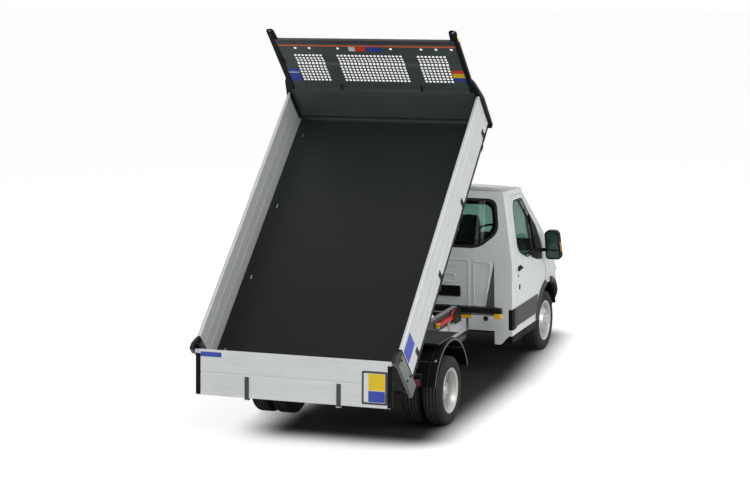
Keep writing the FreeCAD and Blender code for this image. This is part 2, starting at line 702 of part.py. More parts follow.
# ---------------------------------------------------------------- cab, front axle frame
def lean(side, inset, low, high):
    """The upright strip of the cab side, leaning in above the waist, inset from the skin."""
    s = "" if side > 0 else "-"
    outer = "cab_half - %s" % inset[0]
    inner = "cab_half - %s" % inset[1]
    return (
        ("%s(%s)" % (s, outer), low), ("%s(%s)" % (s, outer), "cab_waist"),
        ("%s(%s - lean_in)" % (s, outer), high), ("%s(%s - lean_in)" % (s, inner), high),
        ("%s(%s)" % (s, inner), "cab_waist"), ("%s(%s)" % (s, inner), low),
    )


def inside_section(gap="skin_gap"):
    """The room between the cab sides, as a section across the cab."""
    wide = "(cab_half - cab_wall - %s)" % gap
    return (
        ("-" + wide, "0"), (wide, "0"), (wide, "cab_waist"), ("(%s - lean_in)" % wide, "cab_eaves"),
        ("-(%s - lean_in)" % wide, "cab_eaves"), ("-" + wide, "cab_waist"),
    )


# corners of the door, (behind the front axle, height); edge moves every side outwards
def door_outline(edge):
    return (
        ("1214 + %s" % edge, "540 - %s" % edge), ("1214 + %s" % edge, "1770"),
        ("1140 + %s" % edge, "1950 + %s" % edge),
        ("640 - %s" % edge, "1950 + %s" % edge), ("214 - %s" % edge, "1478 + %s" % edge),
        ("214 - %s" % edge, "1180"),
        ("99 - %s" % edge, "960"), ("99 - %s" % edge, "540 - %s" % edge),
    )


def window_outline(edge):
    return (
        ("1104 - %s" % edge, "1400"), ("1090 - %s" % edge, "1800"), ("1030 - %s" % edge, "1890 - %s" % edge),
        ("655 + %s" % edge, "1890 - %s" % edge), ("335 + %s" % edge, "1530"),
        ("305 + %s" % edge, "1245 + %s" % edge),
        ("800", "1232 + %s" % edge), ("1060 - %s" % edge, "1330"),
    )


HINGE_HEIGHTS = ("825", "925")


def cab_sides():
    panels = []
    for word, side in SIDES:
        strip = prism(word + "_side_strip", "XZ", lean(side, ("0", "cab_wall"), "column_low", "cab_eaves"),
                      ("-90", "cab_behind"))
        shape = prism(word + "_side_shape", "YZ", (
            ("cab_behind", "column_low"), ("cab_behind", "cab_eaves"), ("632", "cab_eaves"), ("556", "1950"),
            ("-70", "1256"), ("-70", "1190"), ("20", "1185"), ("20", "sill_low"), ("1290", "sill_low"),
            ("1290", "column_low"),
        ), mirror_span(side, "cab_half - 300", "cab_half + 10"))
        post = block(word + "_column", mirror_span(side, "column_inner", "cab_half - cab_wall + 1"),
                     ("cab_back_front", "cab_behind"), ("column_low", "1100"))
        whole = fuse(word + "_side_whole", common(word + "_side_cut", strip, shape), post)
        hole = prism(word + "_door_hole", "YZ", door_outline("shut_gap"),
                     mirror_span(side, "cab_half - 200", "cab_half + 20"))
        wing_room = prism(word + "_wing_room", "YZ", (
            ("-100", "300"), ("94", "300"), ("94", "960"), ("209.5", "1181"), ("-100", "1181"),
        ), mirror_span(side, "cab_half - wing_skin - skin_gap", "cab_half + 5"))
        ledge_room = block(word + "_ledge_room", mirror_span(side, "cab_half - cab_wall - 5", "cab_half + 5"),
                           ("-100", "61"), ("300", "1183"))
        opened = cut(word + "_side_open", whole, hole, wing_room, ledge_room,
                     arch_cutter(word + "_side_arch", side))
        lugs = []
        for height in HINGE_HEIGHTS:
            lugs.append(block(word + "_lug", mirror_span(side, "cab_half - 45", "door_hinge_x"),
                              ("door_hinge_y - 8", "door_hinge_y + 6.5"),
                              ("%s - 12" % height, "%s + 12" % height)))
            lugs.append(block(word + "_lug_root", mirror_span(side, "cab_half - cab_wall", "cab_half - 35"),
                              ("70", "door_hinge_y + 6"), ("%s - 12" % height, "%s + 12" % height)))
            lugs.append(rod(word + "_pin", "Z", ("%s - 32" % height, "%s + 32" % height),
                            (mirror_span(side, "door_hinge_x", "door_hinge_x")[0], "door_hinge_y"),
                            "door_pin"))
        panels.append(fuse(word + "_side", opened, *lugs))
    return front("cab_sides", group("side_pair", *panels))


def door(word, side):
    strip = prism(word + "_door_strip", "XZ", lean(side, ("0", "cab_wall"), "column_low", "cab_eaves"),
                  ("60", "cab_behind"))
    shape = prism(word + "_door_shape", "YZ", door_outline("0"),
                  mirror_span(side, "cab_half - 200", "cab_half + 10"))
    slab = common(word + "_door_slab", strip, shape)
    window = prism(word + "_door_window", "YZ", window_outline("0"),
                   mirror_span(side, "cab_half - 250", "cab_half + 20"))
    opened = cut(word + "_door_open", slab, window, arch_cutter(word + "_door_arch", side,
                                                                "arch_radius + shut_gap"))
    axis = mirror_span(side, "door_hinge_x", "door_hinge_x")[0]
    eyes = []
    for height in HINGE_HEIGHTS:
        for low, high in (("12.5", "30"), ("-30", "-12.5")):
            eyes.append(block(word + "_door_eye", mirror_span(side, "cab_half - 10", "door_hinge_x + 8"),
                              ("door_hinge_y - 7", "100"), ("%s + %s" % (height, low),
                                                            "%s + %s" % (height, high))))
    bores = []
    for height in HINGE_HEIGHTS:
        bores.append(rod(word + "_door_bore", "Z", ("%s - 35" % height, "%s + 35" % height),
                         (axis, "door_hinge_y"), "door_pin + pin_play"))
    return front(word + "_door", cut(word + "_door_part", fuse(word + "_door_blank", opened, *eyes), *bores))


def door_glass(word, side):
    strip = prism(word + "_glass_strip", "XZ", lean(side, ("30", "30 - glass_thick"), "1100", "cab_eaves"),
                  ("200", "cab_behind"))
    shape = prism(word + "_glass_shape", "YZ", window_outline("skin_gap"),
                  mirror_span(side, "cab_half - 250", "cab_half + 10"))
    return front(word + "_door_glass", common(word + "_glass_part", strip, shape))


def mirror(word, side):
    arm = block(word + "_mirror_arm", mirror_span(side, "cab_half + skin_gap", "1090"), ("235", "285"),
                ("1190", "1235"))
    head = prism(word + "_mirror_head", "XZ", (
        (mirror_span(side, "1075", "1075")[0], "1130"), (mirror_span(side, "1100", "1100")[0], "1110"),
        (mirror_span(side, "mirror_reach - 15", "0")[0 if side > 0 else 1], "1110"),
        (mirror_span(side, "mirror_reach", "0")[0 if side > 0 else 1], "1140"),
        (mirror_span(side, "mirror_reach - 8", "0")[0 if side > 0 else 1], "1480"),
        (mirror_span(side, "mirror_reach - 40", "0")[0 if side > 0 else 1], "1520"),
        (mirror_span(side, "1110", "1110")[0], "1520"), (mirror_span(side, "1080", "1080")[0], "1480"),
    ), ("205", "300"))
    return front(word + "_mirror", fuse(word + "_mirror_part", arm, head))


def cab_roof():
    edge = "(cab_half - lean_in)"
    inner = "(cab_half - cab_wall - lean_in - skin_gap)"
    across = prism("roof_across", "XZ", (
        ("-" + edge, "cab_eaves + skin_gap"), ("-(%s - 32)" % edge, "roof_top - 45"),
        ("-(%s - 340)" % edge, "roof_top"),
        ("%s - 340" % edge, "roof_top"), ("%s - 32" % edge, "roof_top - 45"), (edge, "cab_eaves + skin_gap"),
        (inner, "cab_eaves + skin_gap"), (inner, "1950 + skin_gap"), ("-" + inner, "1950 + skin_gap"),
        ("-" + inner, "cab_eaves + skin_gap"),
    ), ("500", "cab_behind"))
    along = prism("roof_along", "YZ", (
        ("556", "1950.3"), ("625", "cab_eaves"), ("700", "roof_top - 40"), ("900", "roof_top"),
        ("1250", "roof_top"),
        ("1345", "roof_top - 28"), ("cab_behind", "cab_eaves + 15"), ("cab_behind", "cab_eaves"),
        ("1290", "cab_eaves"), ("700", "cab_eaves"), ("620", "1950.3"),
    ), ("-cab_half", "cab_half"))
    return front("cab_roof", common("roof", across, along))


def cab_floor():
    pan = block("pan", ("-(cab_half - cab_wall - skin_gap)", "cab_half - cab_wall - skin_gap"),
                ("60", "cab_back_front - skin_gap"), ("rail_high", "cab_floor_high"))
    wall = prism("firewall", "YZ", (
        ("61.5", "rail_high"), ("90", "rail_high"), ("90", "1180"), ("-58", "1250"), ("-75", "1250"),
        ("-100", "1226"),
        ("-100", "1200"), ("61.5", "1150"),
    ), ("-(cab_half - cab_wall - skin_gap)", "cab_half - cab_wall - skin_gap"))
    lugs = []
    for word, side in SIDES:
        lugs.append(block(word + "_scuttle_lug", mirror_span(side, "685", "700"), ("-126", "-95"),
                          ("1205", "1254")))
        lugs.append(rod(word + "_scuttle_pin", "X", mirror_span(side, "650", "690"), BONNET_AXIS,
                        "bonnet_pin"))
    trimmed = cut("floor_trim", fuse("floor_blank", pan, wall),
                  arch_cutter("floor_left", 1), arch_cutter("floor_right", -1))
    return front("cab_floor", fuse("floor_whole", trimmed, *lugs))


def back_section(gap):
    low = "cab_half - cab_wall - skin_gap"
    return (
        ("-(column_inner - %s)" % gap, "490"), ("-500", "490"), ("-500", "rail_high + 10"),
        ("500", "rail_high + 10"),
        ("500", "490"), ("column_inner - %s" % gap, "490"), ("column_inner - %s" % gap, "1100.2"),
        (low, "1100.2"),
        (low, "cab_waist"), ("%s - lean_in" % low, "cab_eaves"), ("-(%s - lean_in)" % low, "cab_eaves"),
        ("-(%s)" % low, "cab_waist"), ("-(%s)" % low, "1100.2"), ("-(column_inner - %s)" % gap, "1100.2"),
    )


def rear_window_section(edge):
    return (
        ("-(845 - %s)" % edge, "1590"), ("-(620 - %s)" % edge, "1410 + %s" % edge),
        ("620 - %s" % edge, "1410 + %s" % edge),
        ("845 - %s" % edge, "1590"), ("822 - %s" % edge, "1940 - %s" % edge),
        ("-(822 - %s)" % edge, "1940 - %s" % edge),
    )


def cab_back():
    panel = prism("back_panel", "XZ", back_section("skin_gap"),
                  ("cab_back_front", "cab_behind - back_recess"))
    hole = prism("back_hole", "XZ", rear_window_section("0"), ("cab_back_front - 5", "cab_behind"))
    return front("cab_back", cut("back", panel, hole))


def cab_glass():
    pane = prism("rear_pane", "XZ", rear_window_section("skin_gap"),
                 ("cab_behind - back_recess - 14", "cab_behind - back_recess - 14 + glass_thick"))
    across = prism("screen_across", "XZ", inside_section(), ("-100", "700"))
    along = prism("screen_along", "YZ", (
        ("-74", "1250 + skin_gap"), ("-66", "1250 + skin_gap"), ("564", "1950"), ("556", "1950"),
    ), ("-cab_half", "cab_half"))
    return front("cab_glass", group("panes", common("windscreen", across, along), pane))


def dashboard():
    dash = prism("dash", "YZ", (
        ("90 + skin_gap", "900"), ("300", "900"), ("390", "1060"), ("370", "1150"), ("240", "1190"),
        ("90 + skin_gap", "1178"),
    ), ("-(cab_half - cab_wall - 12)", "cab_half - cab_wall - 12"))
    front("dashboard", dash)
    return dash


# name, centre across, half width
SEATS = (("driver", "-driver_x", 245), ("middle", "130", 215), ("outer", "600", 235))


def seats():
    parts = {}
    for name, centre, half in SEATS:
        base = prism(name + "_seat", "YZ", (
            ("600", "cab_floor_high"), ("1040", "cab_floor_high"), ("1110", "1010"), ("1235", "1560"),
            ("1165", "1590"), ("1030", "1140"), ("570", "1160"), ("560", "1060"),
        ), ("%s - %d" % (centre, half), "%s + %d" % (centre, half)))
        rest = block(name + "_headrest", (centre + " - 120", centre + " + 120"), ("1170", "1250"),
                     ("1575", "1745"))
        parts[name] = fuse(name + "_seat_unit", base, rest)
    return front("seats", group("seat_set", parts["driver"], fuse("bench", parts["middle"], parts["outer"],
                 block("bench_link", ("340", "370"), ("640", "1000"), ("cab_floor_high", "1100")))))


def steering_wheel(dash):
    """A ring, spokes and column, built flat and leaned towards the driver."""
    ring = doc.addObject("Part::Torus", "ring")
    bind(ring, "Radius1", "steer_radius")
    bind(ring, "Radius2", "14")
    wheel = fuse(
        "wheel_blank", ring,
        block("spoke", ("-(steer_radius - 5)", "steer_radius - 5"), ("-22", "22"), ("-12", "8")),
        rod("boss", "Z", ("-25", "12"), ("0", "0"), "60"),
        rod("column", "Z", ("-420", "-15"), ("0", "0"), "28"),
    )
    wheel.Placement = FreeCAD.Placement(FreeCAD.Vector(), FreeCAD.Rotation(FreeCAD.Vector(1, 0, 0), 1))
    bind(wheel, "Placement.Rotation.Angle", "-steer_lean * 1 deg")
    bind(wheel, "Placement.Base.x", "-driver_x")
    bind(wheel, "Placement.Base.y", "520")
    bind(wheel, "Placement.Base.z", "1400")
    return front("steering_wheel", cut("wheel_part", wheel, dash))


def side_steps():
    steps = []
    for word, side in SIDES:
        steps.append(block(word + "_step", mirror_span(side, "cab_half - 110", "cab_half - 5"),
                           ("470", "1288"),
                           ("382", "sill_low")))
    return front("side_steps", group("steps", *steps))


# ---------------------------------------------------------------- wheels
TYRE = (
    ("-75", "tyre_radius"), ("75", "tyre_radius"), ("tyre_half - 4", "tyre_radius - 22"),
    ("tyre_half", "tyre_radius - 65"), ("rim_half + 6", "rim_radius + 12"), ("rim_half", "rim_radius"),
    ("-rim_half", "rim_radius"), ("-(rim_half + 6)", "rim_radius + 12"), ("-tyre_half", "tyre_radius - 65"),
    ("-(tyre_half - 4)", "tyre_radius - 22"),
)


def place_at(item, x, z):
    bind(item, "Placement.Base.x", x)
    bind(item, "Placement.Base.z", z)
    return item


def front_wheel(word, side):
    centre = mirror_span(side, "front_track_half", "front_track_half")[0]
    tyre = place_at(turned(word + "_front_rubber", TYRE), centre, "wheel_z")
    front(word + "_front_tyre", tyre)
    out = "" if side > 0 else "-"
    seat = "rim_radius - skin_gap"
    rim = turned(word + "_front_steel", (
        ("-(rim_half - skin_gap)", seat), ("rim_half - skin_gap", seat),
        ("rim_half - skin_gap", seat + " - rim_wall"), ("-(rim_half - skin_gap)", seat + " - rim_wall"),
    ))
    disc = turned(word + "_front_disc", (
        (out + "50", "spindle_radius + pin_play"), (out + "(50 + disc_wall)", "spindle_radius + pin_play"),
        (out + "(50 + disc_wall)", seat + " - 6"), (out + "50", seat + " - 6"),
    ))
    wheel = place_at(fuse(word + "_front_wheel_part", rim, disc), centre, "wheel_z")
    front(word + "_front_rim", wheel)


def rear_wheels(word, side):
    tyres = []
    rims = []
    seat = "rim_radius - skin_gap"
    for place, out in (("inner", -side), ("outer", side)):
        away = "+" if place == "outer" else "-"
        offset = "rear_track_half %s twin_half" % away
        centre = mirror_span(side, offset, offset)[0]
        tyres.append(place_at(turned("%s_%s_rubber" % (word, place), TYRE), centre, "wheel_z"))
        s = "" if out > 0 else "-"
        t = "-" if out > 0 else ""
        rim = turned("%s_%s_steel" % (word, place), (
            (s + "(rim_half - skin_gap)", seat), (s + "(rim_half - skin_gap)", seat + " - rim_wall"),
            (t + "56", seat + " - rim_wall"), (t + "(twin_half - disc_wall - 4)", "125"),
            (t + "(twin_half - disc_wall)", "axle_end + pin_play"), (t + "twin_half", "axle_end + pin_play"),
            (t + "twin_half", "130"), (t + "(rim_half - skin_gap)", seat + " - rim_wall"),
            (t + "(rim_half - skin_gap)", seat),
        ))
        rims.append(place_at(rim, centre, "wheel_z"))
    rear(word + "_rear_tyres", group(word + "_rubbers", *tyres))
    rear(word + "_rear_rims", fuse(word + "_steels", *rims))


def knuckle(word, side):
    """Upright, strut and wheel spindle, turning together about the steering axis."""
    axis = mirror_span(side, "kingpin_x", "kingpin_x")[0]
    low = "arm_low + arm_thick + pin_play"
    upright = block(word + "_upright", mirror_span(side, "kingpin_x - 28", "kingpin_x + 30"), ("-45", "45"),
                    (low, "440"))
    strut = rod(word + "_strut", "Z", ("430", "wheel_z + arch_radius - liner_wall - 6"), (axis, "0"),
                "strut_radius")
    spindle = rod(word + "_spindle", "X", mirror_span(side, "kingpin_x", "front_track_half + 72"),
                  ("0", "wheel_z"), "spindle_radius")
    disc = rod(word + "_brake", "X", mirror_span(side, "front_track_half - 70", "front_track_half - 44"),
               ("0", "wheel_z"), "145")
    front(word + "_knuckle", fuse(word + "_knuckle_part", upright, strut, spindle, disc))


# ---------------------------------------------------------------- tipping bed, pivot frame
def bed_floor():
    plate = block("floor_plate", ("-floor_half", "floor_half"), ("bed_front", "pivot_from_rear"),
                  ("floor_low", "pivot_drop"))
    parts = [plate]
    pitch = "(bed_length - bearer_wide - 10) / (bearer_count - 1)"
    for i in range(int(number("bearer_count"))):
        start = "bed_front + 5 + %d * %s" % (i, pitch)
        parts.append(block("bearer", ("-985", "985"), (start, "%s + bearer_wide" % start),
                           ("bearer_low", "floor_low")))
    for word, side in SIDES:
        parts.append(block(word + "_rave", mirror_span(side, "975", "post_outer"),
                           ("bed_front", "pivot_from_rear - post_long + post_behind"),
                           ("bearer_low - 5", "pivot_drop - side_hinge_drop - 4")))
        parts.append(block(word + "_runner", mirror_span(side, "runner_inner", "runner_inner + runner_wide"),
                           ("bed_front + 60", "pivot_from_rear - runner_end"), ("runner_low", "bearer_low")))
        parts.append(block(word + "_ram_ear", mirror_span(side, "38", "58"), ("ram_a - 50", "ram_a + 50"),
                           ("ram_b - 34", "floor_low")))
        for start, end in side_hinge_spans():
            parts.append(rod(word + "_side_pin", "Y", (start + " - 26", end + " + 26"),
                             (mirror_span(side, "side_hinge_x", "side_hinge_x")[0],
                              "pivot_drop - side_hinge_drop"),
                             "side_pin"))
            for low, high in ((start + " - 26", start + " - 1"), (end + " + 1", end + " + 26")):
                parts.append(block(word + "_side_lug", mirror_span(side, "post_outer - 5",
                                                                   "side_hinge_x + 5"),
                                   (low, high), ("pivot_drop - side_hinge_drop - 12",
                                                 "pivot_drop - side_hinge_drop + 3")))
    eye_room = block("eye_room", ("-38", "38"), ("ram_a - 80", "ram_a + 80"), ("bearer_low - 1", "floor_low"))
    ram_bar = rod("ram_pin_bar", "X", ("-58", "58"), ("ram_a", "ram_b"), "ram_pin")
    bore = rod("pivot_bore", "X", ("-500", "500"), ("0", "0"), "pivot_radius + pin_play")
    return on_bed("bed_floor", fuse("bed_part", cut("bed_open", fuse("bed_blank", *parts), eye_room, bore),
                                    ram_bar))


def side_hinge_spans():
    """Four hinge places along a dropside, each as start and end in the bed's own frame."""
    spans = []
    for share in ("0.06", "0.35", "0.64", "0.93"):
        middle = "(bed_front + %s * (bed_length - post_long))" % share
        spans.append((middle + " - 30", middle + " + 30"))
    return spans


def dropside(word, side):
    panel = block(word + "_drop_panel", mirror_span(side, "side_inner", "side_inner + side_thick"),
                  ("bed_front + 5", "pivot_from_rear - post_long + post_behind - shut_gap"),
                  ("pivot_drop - 8", "pivot_drop + side_height"))
    axis = (mirror_span(side, "side_hinge_x", "side_hinge_x")[0], "pivot_drop - side_hinge_drop")
    eyes = []
    bores = []
    for start, end in side_hinge_spans():
        eyes.append(block(word + "_drop_eye", mirror_span(side, "side_inner + side_thick - 6",
                                                          "side_hinge_x + 9"),
                          (start, end), ("pivot_drop - side_hinge_drop - 2", "pivot_drop + 20")))
        eyes.append(rod(word + "_drop_barrel", "Y", (start, end), axis, "9"))
        bores.append(rod(word + "_drop_bore", "Y", (start + " - 2", end + " + 2"), axis,
                         "side_pin + pin_play"))
    return on_bed(word + "_dropside", cut(word + "_drop_part", fuse(word + "_drop_blank", panel, *eyes),
                                          *bores))


def corner_posts():
    posts = []
    for word, side in SIDES:
        web = block(word + "_post_web", mirror_span(side, "post_inner", "post_outer"),
                    ("pivot_from_rear + post_behind - post_long", "pivot_from_rear + post_behind"),
                    ("0", "pivot_drop + post_tall"))
        head = block(word + "_post_head", mirror_span(side, "post_inner", "post_outer"),
                     ("pivot_from_rear", "gate_y + 18"), ("gate_z - 25", "pivot_drop + post_tall"))
        pin = rod(word + "_gate_pin", "X", mirror_span(side, "gate_half - 26", "post_inner + 5"),
                  ("gate_y", "gate_z"), "gate_pin")
        foot = block(word + "_post_foot", mirror_span(side, "960", "post_inner + 1"),
                     ("pivot_from_rear + post_behind - post_long", "pivot_from_rear - 1"),
                     ("bearer_low - 40", "bearer_low - skin_gap"))
        room = block(word + "_post_room", mirror_span(side, "900", "floor_half + skin_gap"),
                     ("bed_front", "pivot_from_rear + skin_gap"),
                     ("bearer_low - skin_gap", "pivot_drop + skin_gap"))
        posts.append(cut(word + "_post", fuse(word + "_post_blank", web, head, pin, foot), room))
    return on_bed("corner_posts", group("post_pair", *posts))


# centre across, half width of each mesh window in the headboard
MESH = ((0, 357), (668, 152), (-668, 152))


def headboard():
    back = "bed_front - board_thick"
    front_face = "bed_front - skin_gap"
    sheet = block("board_sheet", ("-board_half + 10", "board_half - 10"), (back + " + 12", back + " + 18"),
                  ("pivot_drop", "pivot_drop + board_tall - 20"))
    top = block("board_top", ("-board_half + 10", "board_half - 10"), (back, front_face),
                ("pivot_drop + board_tall - 63", "pivot_drop + board_tall"))
    middle = block("board_middle", ("-board_half + 10", "board_half - 10"), (back, front_face),
                   ("pivot_drop + 436", "pivot_drop + 480"))
    foot = block("board_foot", ("-board_half + 10", "board_half - 10"), (back, front_face),
                 ("bearer_low", "pivot_drop + 40"))
    posts = []
    for word, side in SIDES:
        posts.append(block(word + "_board_post", mirror_span(side, "board_half - board_post_wide + 15",
                                                             "board_half + 15"),
                           (back, front_face), ("bearer_low", "pivot_drop + board_post_tall")))
    return on_bed("headboard", fuse("board", sheet, top, middle, foot, *posts))


def tailgate():
    panel = block("gate_panel", ("-gate_half", "gate_half"),
                  ("-(gate_offset + gate_thick / 2)", "-(gate_offset - gate_thick / 2)"),
                  ("-gate_below", "gate_above"))
    parts = [panel]
    bores = []
    for word, side in SIDES:
        parts.append(block(word + "_gate_lug", mirror_span(side, "gate_half - 26", "gate_half"),
                           ("-(gate_offset)", "16"), ("-20", "gate_above")))
        bores.append(rod(word + "_gate_bore", "X", mirror_span(side, "gate_half - 40", "gate_half + 5"),
                         ("0", "0"), "gate_pin + pin_play"))
    gate = cut("gate", fuse("gate_blank", *parts), *bores)
    return node("tailgate", gate, y="gate_axis_y", z="gate_high", turn="gate_hang")


# ---------------------------------------------------------------- telescopic ram, foot frame
def ram_barrel():
    tube = rod("barrel_tube", "Z", ("-60", "340"), ("0", "0"), "ram_radius")
    pins = rod("trunnion", "X", ("-(ram_radius + 45)", "ram_radius + 45"), ("0", "0"), "ram_pin")
    hollow = rod("barrel_hollow", "Z", ("-42", "345"), ("0", "0"), "ram_radius - ram_step + pin_play")
    return on_ram("ram_barrel", cut("barrel", fuse("barrel_blank", tube, pins), hollow))


def ram_stage(index, last):
    start = "(-35 + %d * ram_stroke)" % index
    radius = "(ram_radius - %d * ram_step)" % index
    tube = rod("stage_tube", "Z", (start, start + " + ram_stage_long"), ("0", "0"), radius)
    if not last:
        hollow = rod("stage_hollow", "Z", (start + " - 1", start + " + ram_stage_long + 1"), ("0", "0"),
                     radius + " - ram_step + pin_play")
        return on_ram("ram_stage_%d" % index, cut("stage_%d" % index, tube, hollow))
    neck = rod("ram_neck", "Z", (start + " + ram_stage_long - 5", "ram_length - ram_eye_bore - 4"),
               ("0", "0"), "26")
    eye = rod("ram_eye_ring", "X", ("-30", "30"), ("0", "ram_length"), "ram_eye")
    bore = rod("ram_eye_hole", "X", ("-32", "32"), ("0", "ram_length"), "ram_eye_bore")
    return on_ram("ram_stage_%d" % index, cut("ram_top", fuse("ram_top_blank", tube, neck, eye), bore))


# ---------------------------------------------------------------- the whole truck
def build():
    chassis_rails()
    cross_members()
    subframe_rails()
    subframe_beams()
    safety_prop()
    rear_axle()
    leaf_springs()
    prop_shaft()
    mudguards()
    rear_lamps()
    fuel_tank()
    hydraulic_pack()
    exhaust_pipe()
    front_subframe()
    engine_block()
    wheel_arches()
    front_panel()
    bumper()
    grille()
    headlamps()
    front_wings()
    bonnet()
    cab_sides()
    cab_roof()
    cab_floor()
    cab_back()
    cab_glass()
    steering_wheel(dashboard())
    seats()
    side_steps()
    for word, side in SIDES:
        door(word, side)
        door_glass(word, side)
        mirror(word, side)
        knuckle(word, side)
        front_wheel(word, side)
        rear_wheels(word, side)
        dropside(word, side)
    bed_floor()
    corner_posts()
    headboard()
    tailgate()
    ram_barrel()
    for index in (1, 2, 3):
        ram_stage(index, index == 3)


build()
doc.recompute()

for item in doc.Objects:
    if "Invalid" in item.State or "Error" in item.State:
        raise RuntimeError("%s did not rebuild: %s" % (item.Name, item.State))

os.makedirs("parts", exist_ok=True)
for item in nodes:
    if item.Shape.isNull() or not item.Shape.isValid():
        raise RuntimeError(item.Label + " has no valid shape")
    item.Shape.exportStep(os.path.join("parts", item.Label + ".step"))
print(len(nodes), "sub-parts written")
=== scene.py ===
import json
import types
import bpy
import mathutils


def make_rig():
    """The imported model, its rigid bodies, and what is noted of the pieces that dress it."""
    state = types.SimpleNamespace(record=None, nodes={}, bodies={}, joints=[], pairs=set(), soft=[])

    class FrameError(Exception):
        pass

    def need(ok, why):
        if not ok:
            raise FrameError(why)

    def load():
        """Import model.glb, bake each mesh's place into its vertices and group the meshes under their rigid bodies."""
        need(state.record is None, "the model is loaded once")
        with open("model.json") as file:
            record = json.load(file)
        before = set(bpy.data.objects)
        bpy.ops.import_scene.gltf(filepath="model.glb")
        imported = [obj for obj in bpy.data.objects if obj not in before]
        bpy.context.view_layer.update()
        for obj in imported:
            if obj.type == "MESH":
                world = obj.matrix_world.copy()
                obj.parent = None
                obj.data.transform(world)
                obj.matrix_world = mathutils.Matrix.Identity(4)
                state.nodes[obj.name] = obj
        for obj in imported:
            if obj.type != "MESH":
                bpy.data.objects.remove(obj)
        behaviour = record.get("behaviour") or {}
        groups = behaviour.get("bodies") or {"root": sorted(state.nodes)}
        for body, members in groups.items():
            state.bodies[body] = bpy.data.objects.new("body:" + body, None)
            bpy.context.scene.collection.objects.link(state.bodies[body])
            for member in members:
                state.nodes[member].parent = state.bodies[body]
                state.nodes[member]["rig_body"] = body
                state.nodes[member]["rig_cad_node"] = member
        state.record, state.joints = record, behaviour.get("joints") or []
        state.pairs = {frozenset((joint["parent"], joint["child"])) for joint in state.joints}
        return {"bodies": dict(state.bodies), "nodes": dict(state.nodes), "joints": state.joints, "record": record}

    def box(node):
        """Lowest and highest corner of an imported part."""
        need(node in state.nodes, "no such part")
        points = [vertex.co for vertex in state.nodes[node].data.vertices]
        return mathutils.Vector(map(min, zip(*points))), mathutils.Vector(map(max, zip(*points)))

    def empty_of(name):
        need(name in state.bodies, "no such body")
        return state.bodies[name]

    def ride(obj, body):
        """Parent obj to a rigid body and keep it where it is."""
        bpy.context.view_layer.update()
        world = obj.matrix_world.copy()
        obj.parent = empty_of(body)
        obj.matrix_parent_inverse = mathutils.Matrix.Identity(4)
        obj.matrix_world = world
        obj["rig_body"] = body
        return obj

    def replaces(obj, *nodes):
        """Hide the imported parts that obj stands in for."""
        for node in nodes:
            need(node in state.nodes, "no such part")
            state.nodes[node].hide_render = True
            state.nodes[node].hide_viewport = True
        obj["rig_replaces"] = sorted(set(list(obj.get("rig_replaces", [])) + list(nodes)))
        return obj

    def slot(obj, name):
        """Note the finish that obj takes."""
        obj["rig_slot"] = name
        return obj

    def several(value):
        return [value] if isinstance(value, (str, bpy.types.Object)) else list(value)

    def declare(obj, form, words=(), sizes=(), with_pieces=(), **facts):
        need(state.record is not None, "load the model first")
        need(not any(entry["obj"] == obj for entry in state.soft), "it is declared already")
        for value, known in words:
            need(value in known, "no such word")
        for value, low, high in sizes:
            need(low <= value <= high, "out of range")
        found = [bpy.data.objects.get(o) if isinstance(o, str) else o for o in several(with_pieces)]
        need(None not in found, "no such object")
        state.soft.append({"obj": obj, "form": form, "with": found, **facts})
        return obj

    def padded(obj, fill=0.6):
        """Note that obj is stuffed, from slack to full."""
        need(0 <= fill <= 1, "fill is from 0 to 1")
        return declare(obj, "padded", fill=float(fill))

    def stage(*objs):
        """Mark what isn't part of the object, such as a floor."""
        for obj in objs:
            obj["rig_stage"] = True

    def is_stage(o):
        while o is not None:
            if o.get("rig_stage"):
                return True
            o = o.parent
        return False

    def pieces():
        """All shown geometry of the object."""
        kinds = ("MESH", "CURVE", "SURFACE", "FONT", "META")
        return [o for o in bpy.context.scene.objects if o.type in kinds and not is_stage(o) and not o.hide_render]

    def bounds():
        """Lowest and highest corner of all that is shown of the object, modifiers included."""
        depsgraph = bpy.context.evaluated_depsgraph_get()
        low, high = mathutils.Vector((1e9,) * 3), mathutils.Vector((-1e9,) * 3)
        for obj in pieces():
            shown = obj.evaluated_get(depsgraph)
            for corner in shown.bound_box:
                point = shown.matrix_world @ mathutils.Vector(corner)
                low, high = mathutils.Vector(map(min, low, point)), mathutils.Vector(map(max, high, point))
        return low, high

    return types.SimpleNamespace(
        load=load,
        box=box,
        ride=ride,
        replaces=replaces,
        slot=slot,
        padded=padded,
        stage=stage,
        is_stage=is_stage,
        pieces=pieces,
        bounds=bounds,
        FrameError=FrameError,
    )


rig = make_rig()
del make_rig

bl_info = {
    "name": "Dump truck",
    "version": (1, 0, 0),
    "blender": (4, 5, 0),
    "location": "View3D > Sidebar > Truck",
    "description": "Builds the looks of a light tipper truck round its packed frame",
    "category": "Object",
}

import contextlib
import json
import math
import sys

import bpy
from bpy.props import FloatProperty, FloatVectorProperty, IntProperty, PointerProperty
from mathutils import Matrix, Vector

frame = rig.load()
CAD_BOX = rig.bounds()
JOINTS = {joint["name"]: joint for joint in frame["joints"]}


def middle(node):
    low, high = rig.box(node)
    return (low + high) / 2


